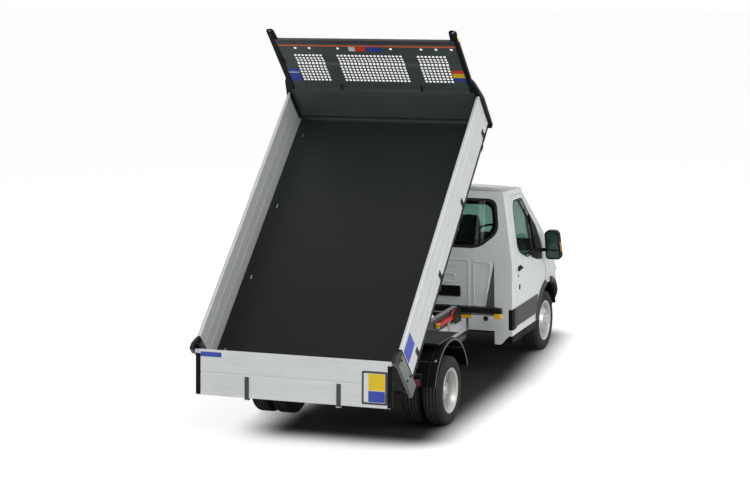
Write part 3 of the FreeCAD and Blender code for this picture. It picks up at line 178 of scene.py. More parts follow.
# ---------------------------------------------------------------- places on the truck
PIVOT = Vector(JOINTS["bed_tip"]["pos_m"])
TILT = math.radians(JOINTS["bed_tip"]["range_deg"][1])
FRONT_WHEEL = middle("left_front_tyre")
REAR_WHEEL = middle("left_rear_tyres")
GATE_HINGE = Vector(JOINTS["tailgate_swing"]["pos_m"])
RAM_FOOT = Vector(JOINTS["ram_foot"]["pos_m"])
RAM_AXIS = Vector(JOINTS["ram_slide_1"]["axis"]).normalized()
HANG = math.radians(4.185)
RAM_LEAN = math.atan2(RAM_AXIS.y, RAM_AXIS.z)
FLOOR_BEHIND_PIVOT = 0.4
FLOOR_ABOVE_PIVOT = 0.17
BED_LONG = 3.3
SIDE_TALL = 0.4
TWIN = 0.1125  # from the middle of a twin pair to the middle of either tyre
SIPES = 90  # cuts round one tyre's tread
DOUBLES = 0.00002  # vertices closer than this are merged

# each frame turns local places into places on the truck
FRONT = Matrix.Translation((0, FRONT_WHEEL.y, 0))
REAR = Matrix.Translation((0, REAR_WHEEL.y, 0))
BED = (Matrix.Translation(PIVOT) @ Matrix.Rotation(-TILT, 4, "X")
       @ Matrix.Translation((0, FLOOR_BEHIND_PIVOT, FLOOR_ABOVE_PIVOT)))
GATE = Matrix.Translation(GATE_HINGE) @ Matrix.Rotation(HANG, 4, "X")
RAM = Matrix.Translation(RAM_FOOT) @ Matrix.Rotation(-RAM_LEAN, 4, "X")
MIRROR = Matrix.Diagonal((-1, 1, 1, 1))
SIDES = (("left", 1), ("right", -1))
AXES = {"X": Vector((1, 0, 0)), "Y": Vector((0, 1, 0)), "Z": Vector((0, 0, 1))}

# a plate's plane: how a flat outline is turned into it, and the axis it faces
PLANES = {
    "XY": (Matrix(), "Z"),
    "XZ": (Matrix(((1, 0, 0, 0), (0, 0, -1, 0), (0, 1, 0, 0), (0, 0, 0, 1))), "Y"),
    "YZ": (Matrix(((0, 0, 1, 0), (1, 0, 0, 0), (0, 1, 0, 0), (0, 0, 0, 1))), "X"),
}

# a settled piece's frame and the body it usually rides on
PLACES = {
    "bed": (BED, "tipping_bed"), "gate": (GATE, "tailgate"), "ram": (RAM, "ram_barrel"),
    "front": (FRONT, "root"), "rear": (REAR, "root"), "here": (Matrix(), "root"),
}

# the material slot a finish usually stands for
SLOTS = {finish: slot for slot, finishes in (
    ("aluminium", "gate_alloy bed_alloy"),
    ("bare_steel", "bright_steel bare_steel"),
    ("bed_paint", "board_satin bed_frame dark_frame bed_satin"),
    ("bed_paint", "stripe_orange label_yellow label_blue label_red"),
    ("black_paint", "black_satin"),
    ("black_plastic", "grey_grain black_grain edge_grain arch_grain gloss_black deep_black"),
    ("black_plastic", "seal_rubber label_white mirror_glass"),
    ("cab_paint", "cab_paint roof_paint"),
    ("cast", "cast_iron alloy_casting"),
    ("chassis_paint", "chassis_paint"),
    ("chrome_steel", "chrome_steel"),
    ("galvanised", "galvanised grey_frame"),
    ("glass", "glass_green"),
    ("lamp_clear", "headlamp_glass lamp_chrome"),
    ("lamp_red", "lens_amber lens_red lens_clear"),
    ("red_paint", "red_paint yellow_paint"),
    ("seat_cloth", "seat_cloth"),
    ("tyre", "tyre_rubber"),
    ("wheel_steel", "wheel_silver"),
) for finish in finishes.split()}


# ---------------------------------------------------------------- modelling helpers
def only(*pieces):
    """Select these pieces and nothing else; the last one is active."""
    if bpy.context.mode != "OBJECT":
        bpy.ops.object.mode_set(mode="OBJECT")
    bpy.ops.object.select_all(action="DESELECT")
    for piece in pieces:
        piece.select_set(True)
        bpy.context.view_layer.objects.active = piece


def active():
    return bpy.context.view_layer.objects.active


@contextlib.contextmanager
def editing(piece):
    """Edit mode with the whole piece selected."""
    only(piece)
    bpy.ops.object.mode_set(mode="EDIT")
    bpy.ops.mesh.select_all(action="SELECT")
    yield
    bpy.ops.object.mode_set(mode="OBJECT")


def place_kept():
    """Move the active piece's place, turn and size into its mesh."""
    bpy.ops.object.transform_apply(location=True, rotation=True, scale=True)
    return active()


def linked(data):
    """A new piece with this mesh or curve."""
    piece = bpy.data.objects.new("part", data)
    bpy.context.scene.collection.objects.link(piece)
    return piece


def apply_modifier(piece, kind, **settings):
    only(piece)
    made = piece.modifiers.new(kind.lower(), kind)
    for key, value in settings.items():
        setattr(made, key, value)
    bpy.ops.object.modifier_apply(modifier=made.name)
    return piece


def rounded(piece, width, segments=2, angle=34):
    """Bevel every edge that is sharper than the angle."""
    return apply_modifier(piece, "BEVEL", width=width, segments=segments, limit_method="ANGLE",
                          angle_limit=math.radians(angle), use_clamp_overlap=True)


def cleaned(piece, dissolve=False, outwards=True):
    """Merge doubles, join flat triangles if wanted, and turn the faces outwards."""
    with editing(piece):
        bpy.ops.mesh.remove_doubles(threshold=DOUBLES)
        if dissolve:
            bpy.ops.mesh.dissolve_limited(angle_limit=math.radians(1))
        if outwards:
            bpy.ops.mesh.normals_make_consistent(inside=False)
    return piece


def sliced(piece, axis, *places):
    """Cut the faces across at these places along the axis."""
    for place in places:
        with editing(piece):
            bpy.ops.mesh.bisect(plane_co=AXES[axis] * place, plane_no=AXES[axis])
    return piece


def slab(x, y, z, bevel=0.003, segments=2):
    """A box with rounded edges between two places on each axis."""
    low, high = (Vector(pick(span) for span in (x, y, z)) for pick in (min, max))
    only()
    bpy.ops.mesh.primitive_cube_add(size=1, location=(low + high) / 2, scale=high - low)
    return rounded(place_kept(), bevel, segments)


def drum(sides, radius, depth, place, turn=(0, math.pi / 2, 0)):
    """A prism or cylinder whose ends look along X unless turned."""
    only()
    bpy.ops.mesh.primitive_cylinder_add(
        vertices=sides, radius=radius, depth=depth, location=place, rotation=turn)
    return active()


def curve_mesh(lines, **settings):
    """A curve of straight runs, made into a mesh."""
    only()
    data = bpy.data.curves.new("line", "CURVE")
    for key, value in settings.items():
        setattr(data, key, value)
    for points, closed in lines:
        line = data.splines.new("POLY")
        line.points.add(len(points) - 1)
        for point, place in zip(line.points, points):
            point.co = (*place, 0, 1) if len(place) == 2 else (*place, 1)
        line.use_cyclic_u = closed
    only(linked(data))
    bpy.ops.object.convert(target="MESH")
    return active()


def flat(outline, span, plane="XZ", holes=(), bevel=0.002, segments=2, angle=34):
    """A plate with the given outline and holes, between two places along the plane's normal."""
    turn, normal = PLANES[plane]
    piece = curve_mesh([(points, True) for points in (outline, *holes)], dimensions="2D", fill_mode="BOTH",
                       extrude=abs(span[1] - span[0]) / 2)
    piece.matrix_world = Matrix.Translation(AXES[normal] * (span[0] + span[1]) / 2) @ turn
    piece = cleaned(place_kept())
    return rounded(piece, bevel, segments, angle) if bevel else piece


def pipe(points, radius):
    """A round bar along the points."""
    return cleaned(curve_mesh([(points, False)], dimensions="3D", bevel_depth=radius, bevel_resolution=3,
                              use_fill_caps=True))


def lathe(profile, centre, axis="X", steps=64, closed=True, start=0, turn=360):
    """A (along, radius) profile spun about an axis through the centre; start and turn in degrees."""
    along = AXES[axis]
    out = Matrix.Rotation(math.radians(start), 3, axis) @ (AXES["Z"] if axis != "Z" else AXES["X"])
    centre = Vector(centre)
    piece = curve_mesh([([centre + along * a + out * r for a, r in profile], closed)], dimensions="3D")
    with editing(piece):
        bpy.ops.mesh.spin(steps=steps, angle=-math.radians(turn), center=centre, axis=along)
        if turn != 360:
            bpy.ops.mesh.select_all(action="DESELECT")
            bpy.ops.mesh.select_mode(type="EDGE")
            bpy.ops.mesh.select_non_manifold()
            bpy.ops.mesh.edge_face_add()
            bpy.ops.mesh.select_mode(type="VERT")
    return cleaned(piece)


def copied(piece, matrix=MIRROR):
    """A copy with its own mesh, moved by the matrix; mirrored copies are turned outwards."""
    only(piece)
    bpy.ops.object.duplicate()
    twin = active()
    twin.data.transform(matrix)
    if matrix.determinant() < 0:
        with editing(twin):
            bpy.ops.mesh.flip_normals()
    return twin


def moved(piece, matrix):
    """The piece itself moved by the matrix, turned outwards if that mirrors it."""
    twin = copied(piece, matrix)
    bpy.data.objects.remove(piece)
    return twin


def ring_of(piece, count, centre):
    """Copies spaced evenly round the X axis through the centre, joined."""
    there, back = Matrix.Translation(centre), Matrix.Translation(-centre)
    turns = [Matrix.Rotation(2 * math.pi * i / count, 4, "X") for i in range(1, count)]
    return joined(piece, *[copied(piece, there @ turn @ back) for turn in turns])


def joined(*pieces):
    if len(pieces) > 1:
        only(*pieces)
        bpy.ops.object.join()
    return pieces[-1]


def mirrored(*pieces):
    """The pieces joined, with their image on the truck's other side."""
    half = joined(*pieces)
    return joined(half, copied(half))


def cut_away(piece, tool):
    """Take the tool out of the piece."""
    apply_modifier(piece, "BOOLEAN", object=tool, operation="DIFFERENCE", solver="EXACT")
    bpy.data.objects.remove(tool)
    return piece


def softened(node, width, segments=2, angle=30):
    """A copy of a frame node with merged faces and rounded edges."""
    only(frame["nodes"][node])
    bpy.ops.object.duplicate()
    piece = active()
    piece.parent = None
    for key in [key for key in piece.keys() if key.startswith("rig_")]:
        del piece[key]
    return rounded(cleaned(piece, dissolve=True, outwards=False), width, segments, angle)


def settle(name, place, finish, *parts, body=None, slot=None, smooth=32, replaces=()):
    """Join the parts, put them in place, give them a finish and let them ride on their body."""
    piece = joined(*parts)
    piece.name = piece.data.name = name
    matrix, usual_body = PLACES[place]
    piece.data.transform(piece.matrix_world)
    piece.matrix_world = Matrix()
    piece.data.transform(matrix)
    only(piece)
    bpy.ops.object.shade_smooth_by_angle(angle=math.radians(smooth))
    apply_modifier(piece, "WEIGHTED_NORMAL", keep_sharp=True, weight=80)
    piece.data.materials.clear()
    piece.data.materials.append(FINISHES[finish])
    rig.ride(piece, body or usual_body)
    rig.slot(piece, slot or SLOTS[finish])
    if replaces:
        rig.replaces(piece, *replaces)
    return piece


def stand_in(node, place, finish, *parts, **ways):
    """Settle the parts as the looks that replace a frame node."""
    return settle(node + "_looks", place, finish, *parts, replaces=[node], **ways)


def dress(node, finish, width, segments=2, angle=30, shape=None, **ways):
    """Finish a frame node with rounded edges, and with its shape changed if a function is given."""
    piece = softened(node, width, segments, angle)
    return stand_in(node, "here", finish, shape(piece) if shape else piece, **ways)


def unwrap_round(piece, repeat):
    """A map whose first axis runs round the X axis and second along the surface's depth."""
    layer = piece.data.uv_layers.new(name="round")
    mesh = piece.data
    for face in mesh.polygons:
        middle_angle = math.atan2(face.center.z, face.center.y)
        for corner in face.loop_indices:
            place = mesh.vertices[mesh.loops[corner].vertex_index].co
            angle = math.atan2(place.z, place.y)
            angle += 2 * math.pi * round((middle_angle - angle) / (2 * math.pi))
            layer.data[corner].uv = (angle / (2 * math.pi) * repeat, math.hypot(place.z, place.y))
    return piece


# ---------------------------------------------------------------- outlines
def arc(centre, radius, start, end, count):
    """Points on a circle in a plate's plane, angles in degrees."""
    steps = [math.radians(start + (end - start) * i / count) for i in range(count + 1)]
    return [(centre[0] + radius * math.cos(a), centre[1] + radius * math.sin(a)) for a in steps]


def disc_hole(x, y, radius, count=20):
    return arc((x, y), radius, 0, 360 - 360 / count, count - 1)


def box_outline(x0, x1, y0, y1):
    return [(x0, y0), (x1, y0), (x1, y1), (x0, y1)]


def round_box(x, y, radius, count=4):
    """A rectangle with rounded corners."""
    (x0, x1), (y0, y1) = sorted(x), sorted(y)
    points = []
    for cx, cy, start in ((x1 - radius, y1 - radius, 0), (x0 + radius, y1 - radius, 90),
                          (x0 + radius, y0 + radius, 180), (x1 - radius, y0 + radius, 270)):
        points += arc((cx, cy), radius, start, start + 90, count)
    return points


def flip(points, side):
    """The outline as it is, or mirrored for the right side."""
    return [(x * side, y) for x, y in points]


def portion(value, start, reach):
    """How far the value has come on its way from the start over the reach, nought to one."""
    return min(1, max(0, (value - start) / reach))


# ---------------------------------------------------------------- shader helpers
class Wire:
    """A shader socket that takes Python's arithmetic."""

    def __init__(self, finish, socket):
        self.finish = finish
        self.socket = socket

    def maths(self, operation, *values, clamp=False):
        return self.finish.node("Math", {"operation": operation, "use_clamp": clamp},
            dict(enumerate(values)))

    def clamped(self):
        return self.maths("ADD", self, 0.0, clamp=True)

    def power(self, other):
        return self.maths("POWER", self, other)

    def over(self, other):
        return self.maths("MAXIMUM", self, other)

    def between(self, low, high, start=0.0, end=1.0):
        """Nought below low, one above high, smooth in between; start and end rename those."""
        return self.finish.node("MapRange", {"interpolation_type": "SMOOTHSTEP"},
            {"Value": self, "From Min": low, "From Max": high, "To Min": start, "To Max": end})


for word, operation in (("add", "ADD"), ("sub", "SUBTRACT"), ("mul", "MULTIPLY"), ("truediv", "DIVIDE")):
    setattr(Wire, "__%s__" % word, lambda self, other, kind=operation: self.maths(kind, self, other))
    setattr(Wire, "__r%s__" % word, lambda self, other, kind=operation: self.maths(kind, other, self))


class Finish:
    """One material and the nodes in it."""

    def __init__(self, name, turn=0.0):
        self.name = name
        self.material = bpy.data.materials.new(name + "_finish")
        self.material.use_nodes = True
        self.nodes = self.material.node_tree.nodes
        self.links = self.material.node_tree.links
        self.nodes.clear()
        self.shader = self.nodes.new("ShaderNodeBsdfPrincipled")
        out = self.nodes.new("ShaderNodeOutputMaterial")
        self.links.new(self.shader.outputs["BSDF"], out.inputs["Surface"])
        self.turn = turn

    def node(self, kind, settings=(), values=(), output=0):
        made = self.nodes.new("ShaderNode" + kind)
        for key, value in dict(settings).items():
            if key == "stops":
                ramp = made.color_ramp
                while len(ramp.elements) < len(value):
                    ramp.elements.new(0.5)
                for stop, (place, colour) in zip(ramp.elements, value):
                    stop.position = place
                    stop.color = (*colour, 1) if len(colour) == 3 else colour
            else:
                setattr(made, key, value)
        for key, value in dict(values).items():
            self.plug(made.inputs[key], value)
        return Wire(self, made.outputs[output])

    def plug(self, socket, value):
        if isinstance(value, Wire):
            self.links.new(value.socket, socket)
        elif hasattr(socket.default_value, "__len__") and (not hasattr(value, "__len__")):
            socket.default_value = [value] * len(socket.default_value)
        elif hasattr(value, "__len__") and len(value) == 3 and (len(socket.default_value) == 4):
            socket.default_value = (*value, 1)
        else:
            socket.default_value = value

    def where(self, stretch=(1, 1, 1), shift=(0, 0, 0)):
        """Object coordinates, turned with the part and stretched."""
        place = self.node("TexCoord", output="Object")
        turned = self.node("Mapping", {"vector_type": "POINT"},
            {"Vector": place, "Rotation": (self.turn, 0, 0), "Location": shift})
        return self.node("Mapping", {"vector_type": "POINT"}, {"Vector": turned, "Scale": stretch})

    def along(self, axis, wire):
        return self.node("SeparateXYZ", (), {"Vector": wire}, output="XYZ".index(axis))

    def noise(self, place, scale, detail=4.0, rough=0.55, distort=0.0):
        return self.node("TexNoise", (), {"Vector": place, "Scale": scale, "Detail": detail,
            "Roughness": rough, "Distortion": distort})

    def cells(self, place, scale, output="Distance", feature="F1"):
        return self.node("TexVoronoi", {"feature": feature}, {"Vector": place, "Scale": scale},
            output=output)

    def waves(self, place, scale, axis="X", distort=0.0, detail=0.0):
        return self.node("TexWave", {"bands_direction": axis}, {"Vector": place, "Scale": scale,
            "Distortion": distort, "Detail": detail}, output="Fac")

    def mix(self, factor, first, second):
        return self.node("Mix", {"data_type": "RGBA"}, {0: factor, 6: first, 7: second}, output=2)

    def ramp(self, value, *stops):
        return self.node("ValToRGB", {"stops": stops}, {"Fac": value})

    def bump(self, height, strength=0.3, depth=0.002, under=None):
        values = {"Height": height, "Strength": strength, "Distance": depth}
        if under is not None:
            values["Normal"] = under
        return self.node("Bump", (), values)

    def done(self, **values):
        for key, value in values.items():
            self.plug(self.shader.inputs[key.replace("_", " ")], value)
        FINISHES[self.name] = self.material
        return self.material


FINISHES = {}


def painted(name, colour, rough=0.3, dirt=0.25, coat=0.0, metal=0.0, turn=0.0, grime=(0.16, 0.145, 0.125),
    low=0.0, shine=0.5, foot=1.0):
    """Sprayed paint with peel and dust; low adds road dirt, foot is a painted shade, the tone at a raised bed's lower
    end.
    """
    f = Finish(name, turn)
    place = f.where()
    broad = f.noise(place, 1.7, 5)
    grit = f.noise(place, 46, 6, 0.7)
    peel = f.noise(place, 420, 2)
    streak = f.noise(f.where((9, 9, 1.3)), 3.2, 4)
    dust = (broad * 0.6 + grit * 0.3 + streak * 0.2 - 0.5).between(0.0, 0.32)
    if low:
        height = f.along("Z", place)
        dust = (dust + height.between(0.28, 0.28 + low, 0.75, 0.0) * (grit + 0.45)).clamped()
    tone = f.mix(broad.between(0.3, 0.7), [c * 0.97 for c in colour], [min(1, c * 1.02) for c in colour])
    base = f.mix(dust * dirt, tone, grime)
    # Painted shade: with foot under one, the colour darkens towards the raised bed's lower end.
    if foot < 1:
        base = f.mix(f.along("Z", f.node("TexCoord", output="Object")).between(0.9, 3.3),
            [c * foot for c in colour], base)
    f.done(Base_Color=base, Roughness=dust * (0.35 * dirt + 0.02) + grit * 0.04 + rough, Metallic=metal,
        Coat_Weight=coat, Coat_Roughness=0.08, Specular_IOR_Level=shine,
        Normal=f.bump(peel * 0.35 + grit * dust * 0.6, 0.12, 0.0012))


def moulded(name, colour, rough=0.55, grain=900, dirt=0.3, depth=0.35, turn=0.0, shine=0.3):
    """Moulded plastic with a fine leather grain and faded high spots."""
    f = Finish(name, turn)
    place = f.where()
    pores = f.cells(place, grain)
    broad = f.noise(place, 3.1, 5)
    grit = f.noise(place, 70, 5, 0.7)
    fade = (broad * 0.7 + grit * 0.4 - 0.42).between(0.0, 0.35)
    base = f.mix(fade * dirt, colour, [c * 1.5 + 0.02 for c in colour])
    f.done(Base_Color=base, Roughness=fade * 0.15 + rough - pores * 0.12, Specular_IOR_Level=shine,
        Normal=f.bump(pores + grit * 0.3, depth, 0.0008))


def brushed(name, colour, stretch, rough=0.3, metal=1.0, turn=0.0, wear=0.3):
    """Rolled or brushed metal whose fine lines run along the axis that stretch leaves short."""
    f = Finish(name, turn)
    lines = f.noise(f.where(stretch), 1.0, 6, 0.75)
    fine = f.noise(f.where([s * 3 for s in stretch]), 1.0, 3, 0.8)
    place = f.where()
    cloud = f.noise(place, 2.3, 5)
    smear = f.noise(place, 21, 6, 0.7)
    stain = (cloud * 0.6 + smear * 0.45 - 0.46).between(0.0, 0.3)
    tone = f.mix(lines.between(0.3, 0.7), [c * 0.84 for c in colour], [min(1, c * 1.08) for c in colour])
    base = f.mix(stain * wear, tone, [c * 0.62 for c in colour])
    f.done(Base_Color=base, Roughness=lines * 0.16 + stain * 0.2 * wear + rough - 0.08, Metallic=metal,
        Normal=f.bump(lines * 0.6 + fine * 0.5, 0.1, 0.0008))


def galvanised(name, turn=0.0):
    """Hot-dip zinc with its spangle."""
    f = Finish(name, turn)
    place = f.where()
    bent = f.noise(place, 30, 3)
    spangle = f.cells(f.where((1, 1, 1)), 95, "Color")
    tone = f.node("SeparateColor", (), {"Color": spangle})
    dull = f.noise(place, 5, 5)
    shade = tone * 0.5 + dull * 0.6 + bent * 0.2
    base = f.ramp(shade, (0.25, (0.1, 0.11, 0.1)), (0.55, (0.17, 0.185, 0.17)), (0.9, (0.3, 0.31, 0.295)))
    f.done(Base_Color=base, Roughness=tone * 0.16 + dull * 0.2 + 0.3, Metallic=0.75,
        Normal=f.bump(tone * 0.4 + bent, 0.14, 0.001))


def rubber(name):
    """Tyre rubber: sipes across the tread from the round map, dust on the shoulders, painted shade in the grooves and
    sipes.
    """
    f = Finish(name)
    place = f.where()
    around = f.node("UVMap", {"uv_map": "round"})
    turn, radius = f.along("X", around), f.along("Y", around)
    tread = radius.between(0.3385, 0.3405)
    across = f.along("X", place)
    slant = turn * 1.0 + across * 16.0
    sipe = slant.maths("FRACT", slant)
    groove = 1 - sipe.between(0.0, 0.07) + sipe.between(0.93, 1.0)
    cut = groove * tread
    grit = f.noise(place, 120, 6, 0.75)
    broad = f.noise(place, 7, 4)
    dust = (grit * 0.6 + broad * 0.6 - 0.5).between(0.0, 0.3)
    ribs = (radius * 420).maths("SINE", radius * 420) * (1 - tread)
    floor_of_groove = 1 - radius.between(0.3385, 0.3435)
    rubbed = f.mix(tread, (0.01, 0.01, 0.011), (0.052, 0.052, 0.053))
    base = f.mix(dust * 0.3 * (1 - tread), rubbed, (0.045, 0.043, 0.04))
    # Painted shade: the grooves and sipe cuts are coloured near black for the shade in them.
    deep = (cut * 0.6).over(floor_of_groove * tread)
    f.done(Base_Color=f.mix(deep, base, (0.005, 0.005, 0.005)), Roughness=dust * 0.18 + 0.66,
        Specular_IOR_Level=0.3, Normal=f.bump(grit * 0.25 + ribs * 0.12 - cut * 1.4, 0.55, 0.003))


def cast(name, colour, rough=0.6, metal=0.3, rust=0.4):
    """Cast or forged iron with old paint, rust bloom and oil."""
    f = Finish(name)
    place = f.where()
    skin = f.noise(place, 160, 6, 0.7)
    patch = f.noise(place, 9, 6, 0.65)
    bloom = (patch * 0.8 + skin * 0.3 - 0.6).between(0.0, 0.2)
    base = f.mix(bloom * rust, f.mix(skin, [c * 0.7 for c in colour], [c * 1.4 for c in colour]),
        (0.16, 0.075, 0.035))
    f.done(Base_Color=base, Roughness=bloom * 0.25 + patch * 0.15 + rough - 0.1, Metallic=metal,
        Normal=f.bump(skin + patch * 0.5, 0.35, 0.0015))


def glazed(name, colour):
    """Tinted safety glass with a trace of dust."""
    f = Finish(name)
    place = f.where()
    film = f.noise(place, 6, 5)
    specks = f.noise(place, 210, 3)
    dust = (film * 0.6 + specks * 0.5 - 0.5).between(0.0, 0.35)
    f.done(Base_Color=f.mix(dust * 0.1, colour, (0.35, 0.36, 0.34)), Roughness=dust * 0.04,
        Transmission_Weight=1.0, IOR=1.45)


def lensed(name, colour, alpha=0.85, flutes=140):
    """Moulded lamp lens with fine optics behind the face."""
    f = Finish(name)
    place = f.where()
    rows = f.waves(place, flutes, "Z") * 0.5 + f.waves(place, flutes, "X") * 0.5
    haze = f.noise(place, 30, 4)
    f.done(Base_Color=f.mix(rows, [c * 0.55 for c in colour], colour), Roughness=haze * 0.08 + 0.05,
        Alpha=alpha, Coat_Weight=0.6, Coat_Roughness=0.03, Normal=f.bump(rows, 0.3, 0.001))


def woven(name, colour, thread=0.0016):
    """Seat cloth with a plain weave and a slight pile."""
    f = Finish(name)
    place = f.where()
    warp = f.waves(place, 1 / thread / 6.3, "X", 0.6, 1)
    weft = f.waves(place, 1 / thread / 6.3, "DIAGONAL", 0.6, 1)
    cloth = warp * 0.5 + weft * 0.5
    wear = f.noise(place, 6, 5)
    f.done(Base_Color=f.mix(cloth, [c * 0.55 for c in colour],
        f.mix(wear, colour, [c * 1.7 for c in colour])), Roughness=wear * 0.1 + 0.82, Sheen_Weight=0.25,
        Normal=f.bump(cloth + wear * 0.2, 0.5, 0.0012))


def mesh_dark(name, colour, rough):
    """Flat dark paint for the insides of openings."""
    f = Finish(name)
    place = f.where()
    grit = f.noise(place, 90, 5)
    f.done(Base_Color=f.mix(grit, [c * 0.7 for c in colour], [c * 1.3 for c in colour]),
        Roughness=grit * 0.1 + rough, Normal=f.bump(grit, 0.2, 0.001))


def make_finishes():
    colours = bpy.context.scene.truck_colours
    cab = colours.cab[:]
    bed = colours.bed[:]
    alloy = colours.alloy[:]
    painted("cab_paint", cab, rough=0.24, dirt=0.05, coat=0.5, low=0.3)
    painted("chassis_paint", [c * 0.88 for c in cab], rough=0.36, dirt=0.4, low=0.5)
    painted("black_satin", (0.009, 0.009, 0.01), rough=0.36, dirt=0.08, low=0.2, shine=0.25)
    # foot paints a shade that darkens the load floor and cove towards the raised bed's lower end.
    painted("bed_satin", [c * 1.1 for c in bed], foot=0.05, rough=0.36, dirt=0.1, turn=TILT,
        grime=(0.035, 0.04, 0.038), shine=0.22)
    painted("board_satin", [c * 4.2 for c in bed], rough=0.4, dirt=0.13, turn=TILT, grime=(0.09, 0.095, 0.09))
    painted("bed_frame", [c * 0.55 for c in bed], rough=0.42, dirt=0.1, turn=TILT, shine=0.2)
    painted("grey_frame", (0.36, 0.37, 0.365), rough=0.4, dirt=0.4)
    painted("dark_frame", (0.06, 0.061, 0.065), rough=0.4, dirt=0.2, shine=0.3)
    painted("red_paint", (0.62, 0.035, 0.025), rough=0.3, dirt=0.25)
    painted("yellow_paint", (0.83, 0.5, 0.02), rough=0.32, dirt=0.25)
    painted("stripe_orange", (0.8, 0.17, 0.07), rough=0.35, dirt=0.1, turn=TILT)
    for name, colour in (
        ("label_blue", (0.035, 0.07, 0.42)),
        ("label_yellow", (0.85, 0.6, 0.015)),
        ("label_white", (0.8, 0.8, 0.78)),
        ("label_red", (0.72, 0.06, 0.03)),
    ):
        painted(name, colour, rough=0.42, dirt=0.12, turn=TILT)
    moulded("black_grain", (0.0045, 0.0045, 0.005), dirt=0.05, shine=0.12)
    moulded("arch_grain", (0.036, 0.038, 0.04), rough=0.5, dirt=0.15)
    # A grey moulding for painted light: the highlight along the mudguard lips and the shade in the cab back's wedge
    # recesses.
    moulded("edge_grain", (0.11, 0.115, 0.12), rough=0.4, dirt=0.1)
    moulded("grey_grain", (0.06, 0.063, 0.066), rough=0.5, dirt=0.2)
    moulded("gloss_black", (0.012, 0.012, 0.013), rough=0.16, grain=300, dirt=0.15, depth=0.05)
    moulded("seal_rubber", (0.014, 0.014, 0.015), rough=0.7, grain=500)
    # Painted shade: the drop sides' alloy is the tailgate's alloy darkened to 0.88, for the shade on their outer
    # faces.
    brushed("bed_alloy", [c * 0.88 for c in alloy], (420, 2.2, 420), rough=0.5, metal=0.3, turn=TILT)
    brushed("gate_alloy", alloy, (2.2, 420, 420), rough=0.5, metal=0.3, turn=-HANG)
    brushed("bare_steel", (0.42, 0.41, 0.39), (60, 3, 60), rough=0.42, wear=0.8)
    brushed("bright_steel", (0.72, 0.73, 0.74), (130, 130, 130), rough=0.3, wear=0.3)
    brushed("chrome_steel", (0.78, 0.79, 0.8), (150, 150, 3), rough=0.14, turn=RAM_LEAN, wear=0.15)
    brushed("mirror_glass", (0.045, 0.075, 0.07), (1, 1, 1), rough=0.14, metal=0.6, wear=0.1)
    painted("wheel_silver", (0.6, 0.59, 0.57), rough=0.3, dirt=0.35, metal=0.5)
    # Painted shade: the roof has the cab's paint, coloured darker for the shade on its top.
    painted("roof_paint", (0.38, 0.39, 0.39), rough=0.45, dirt=0.15, shine=0.2)
    galvanised("galvanised", turn=TILT)
    rubber("tyre_rubber")
    cast("cast_iron", (0.045, 0.045, 0.046))
    cast("alloy_casting", (0.3, 0.3, 0.29), rough=0.5, metal=0.6, rust=0.15)
    glazed("glass_green", (0.42, 0.6, 0.55))
    lensed("lens_red", (0.3, 0.01, 0.012))
    lensed("lens_amber", (0.85, 0.25, 0.01))
    lensed("lens_clear", (0.8, 0.83, 0.85), alpha=0.35)
    lensed("headlamp_glass", (0.62, 0.65, 0.67), alpha=0.45, flutes=60)
    woven("seat_cloth", (0.045, 0.047, 0.052))
    mesh_dark("deep_black", (0.006, 0.006, 0.006), 0.8)
    mesh_dark("lamp_chrome", (0.75, 0.76, 0.78), 0.12)


# ---------------------------------------------------------------- what a user would change
class TruckSizes(bpy.types.PropertyGroup):
    """Sizes of the details that are built round the frame"""
    tread_depth: FloatProperty(name="Tread depth",
        description="Depth of the grooves round each tyre", default=0.009, unit="LENGTH")
    mesh_pitch: FloatProperty(name="Mesh pitch",
        description="Distance between the holes of the headboard mesh", default=0.04, unit="LENGTH")
    mesh_hole: FloatProperty(name="Mesh hole",
        description="Width of each square hole of the headboard mesh", default=0.026, unit="LENGTH")
    swage: FloatProperty(name="Headboard swage",
        description="How far the headboard is pressed forwards", default=0.037, unit="LENGTH")
    seal: FloatProperty(name="Glass seal", description="Width of the rubber round the cab glass",
        default=0.012, unit="LENGTH")
    wheel_nuts: IntProperty(name="Wheel nuts", description="Nuts on each wheel", default=6, min=4,
        max=10)


class TruckColours(bpy.types.PropertyGroup):
    """Colours of the main finishes"""
    cab: FloatVectorProperty(name="Cab", description="Paint of the cab and chassis",
        subtype="COLOR", default=(0.74, 0.77, 0.78))
    bed: FloatVectorProperty(name="Bed", description="Paint of the load floor and headboard",
        subtype="COLOR", default=(0.017, 0.021, 0.021))
    alloy: FloatVectorProperty(name="Sides", description="Metal of the drop sides and tailgate",
        subtype="COLOR", default=(0.74, 0.76, 0.77))


class TruckStage(bpy.types.PropertyGroup):
    """Camera and light"""
    heading: FloatProperty(name="Heading",
        description="How far round from straight behind the camera stands", subtype="ANGLE",
        default=math.radians(21.19))
    elevation: FloatProperty(name="Elevation",
        description="How far above level the camera looks down", subtype="ANGLE", default=math.radians(10.03))
    distance: FloatProperty(name="Distance", description="From the camera to what it looks at",
        default=21.93, unit="LENGTH")
    roll: FloatProperty(name="Roll", description="Turn of the camera about its own line of sight",
        subtype="ANGLE", default=math.radians(1.03))
    lens: FloatProperty(name="Lens", description="Focal length on a 36 mm sensor", default=102.25,
        unit="CAMERA")
    key: FloatProperty(name="Key light", description="Power of the overhead light", default=450,
        unit="POWER")
    sky: FloatProperty(name="Sky", description="Strength of the even light from all round",
        default=0.42)


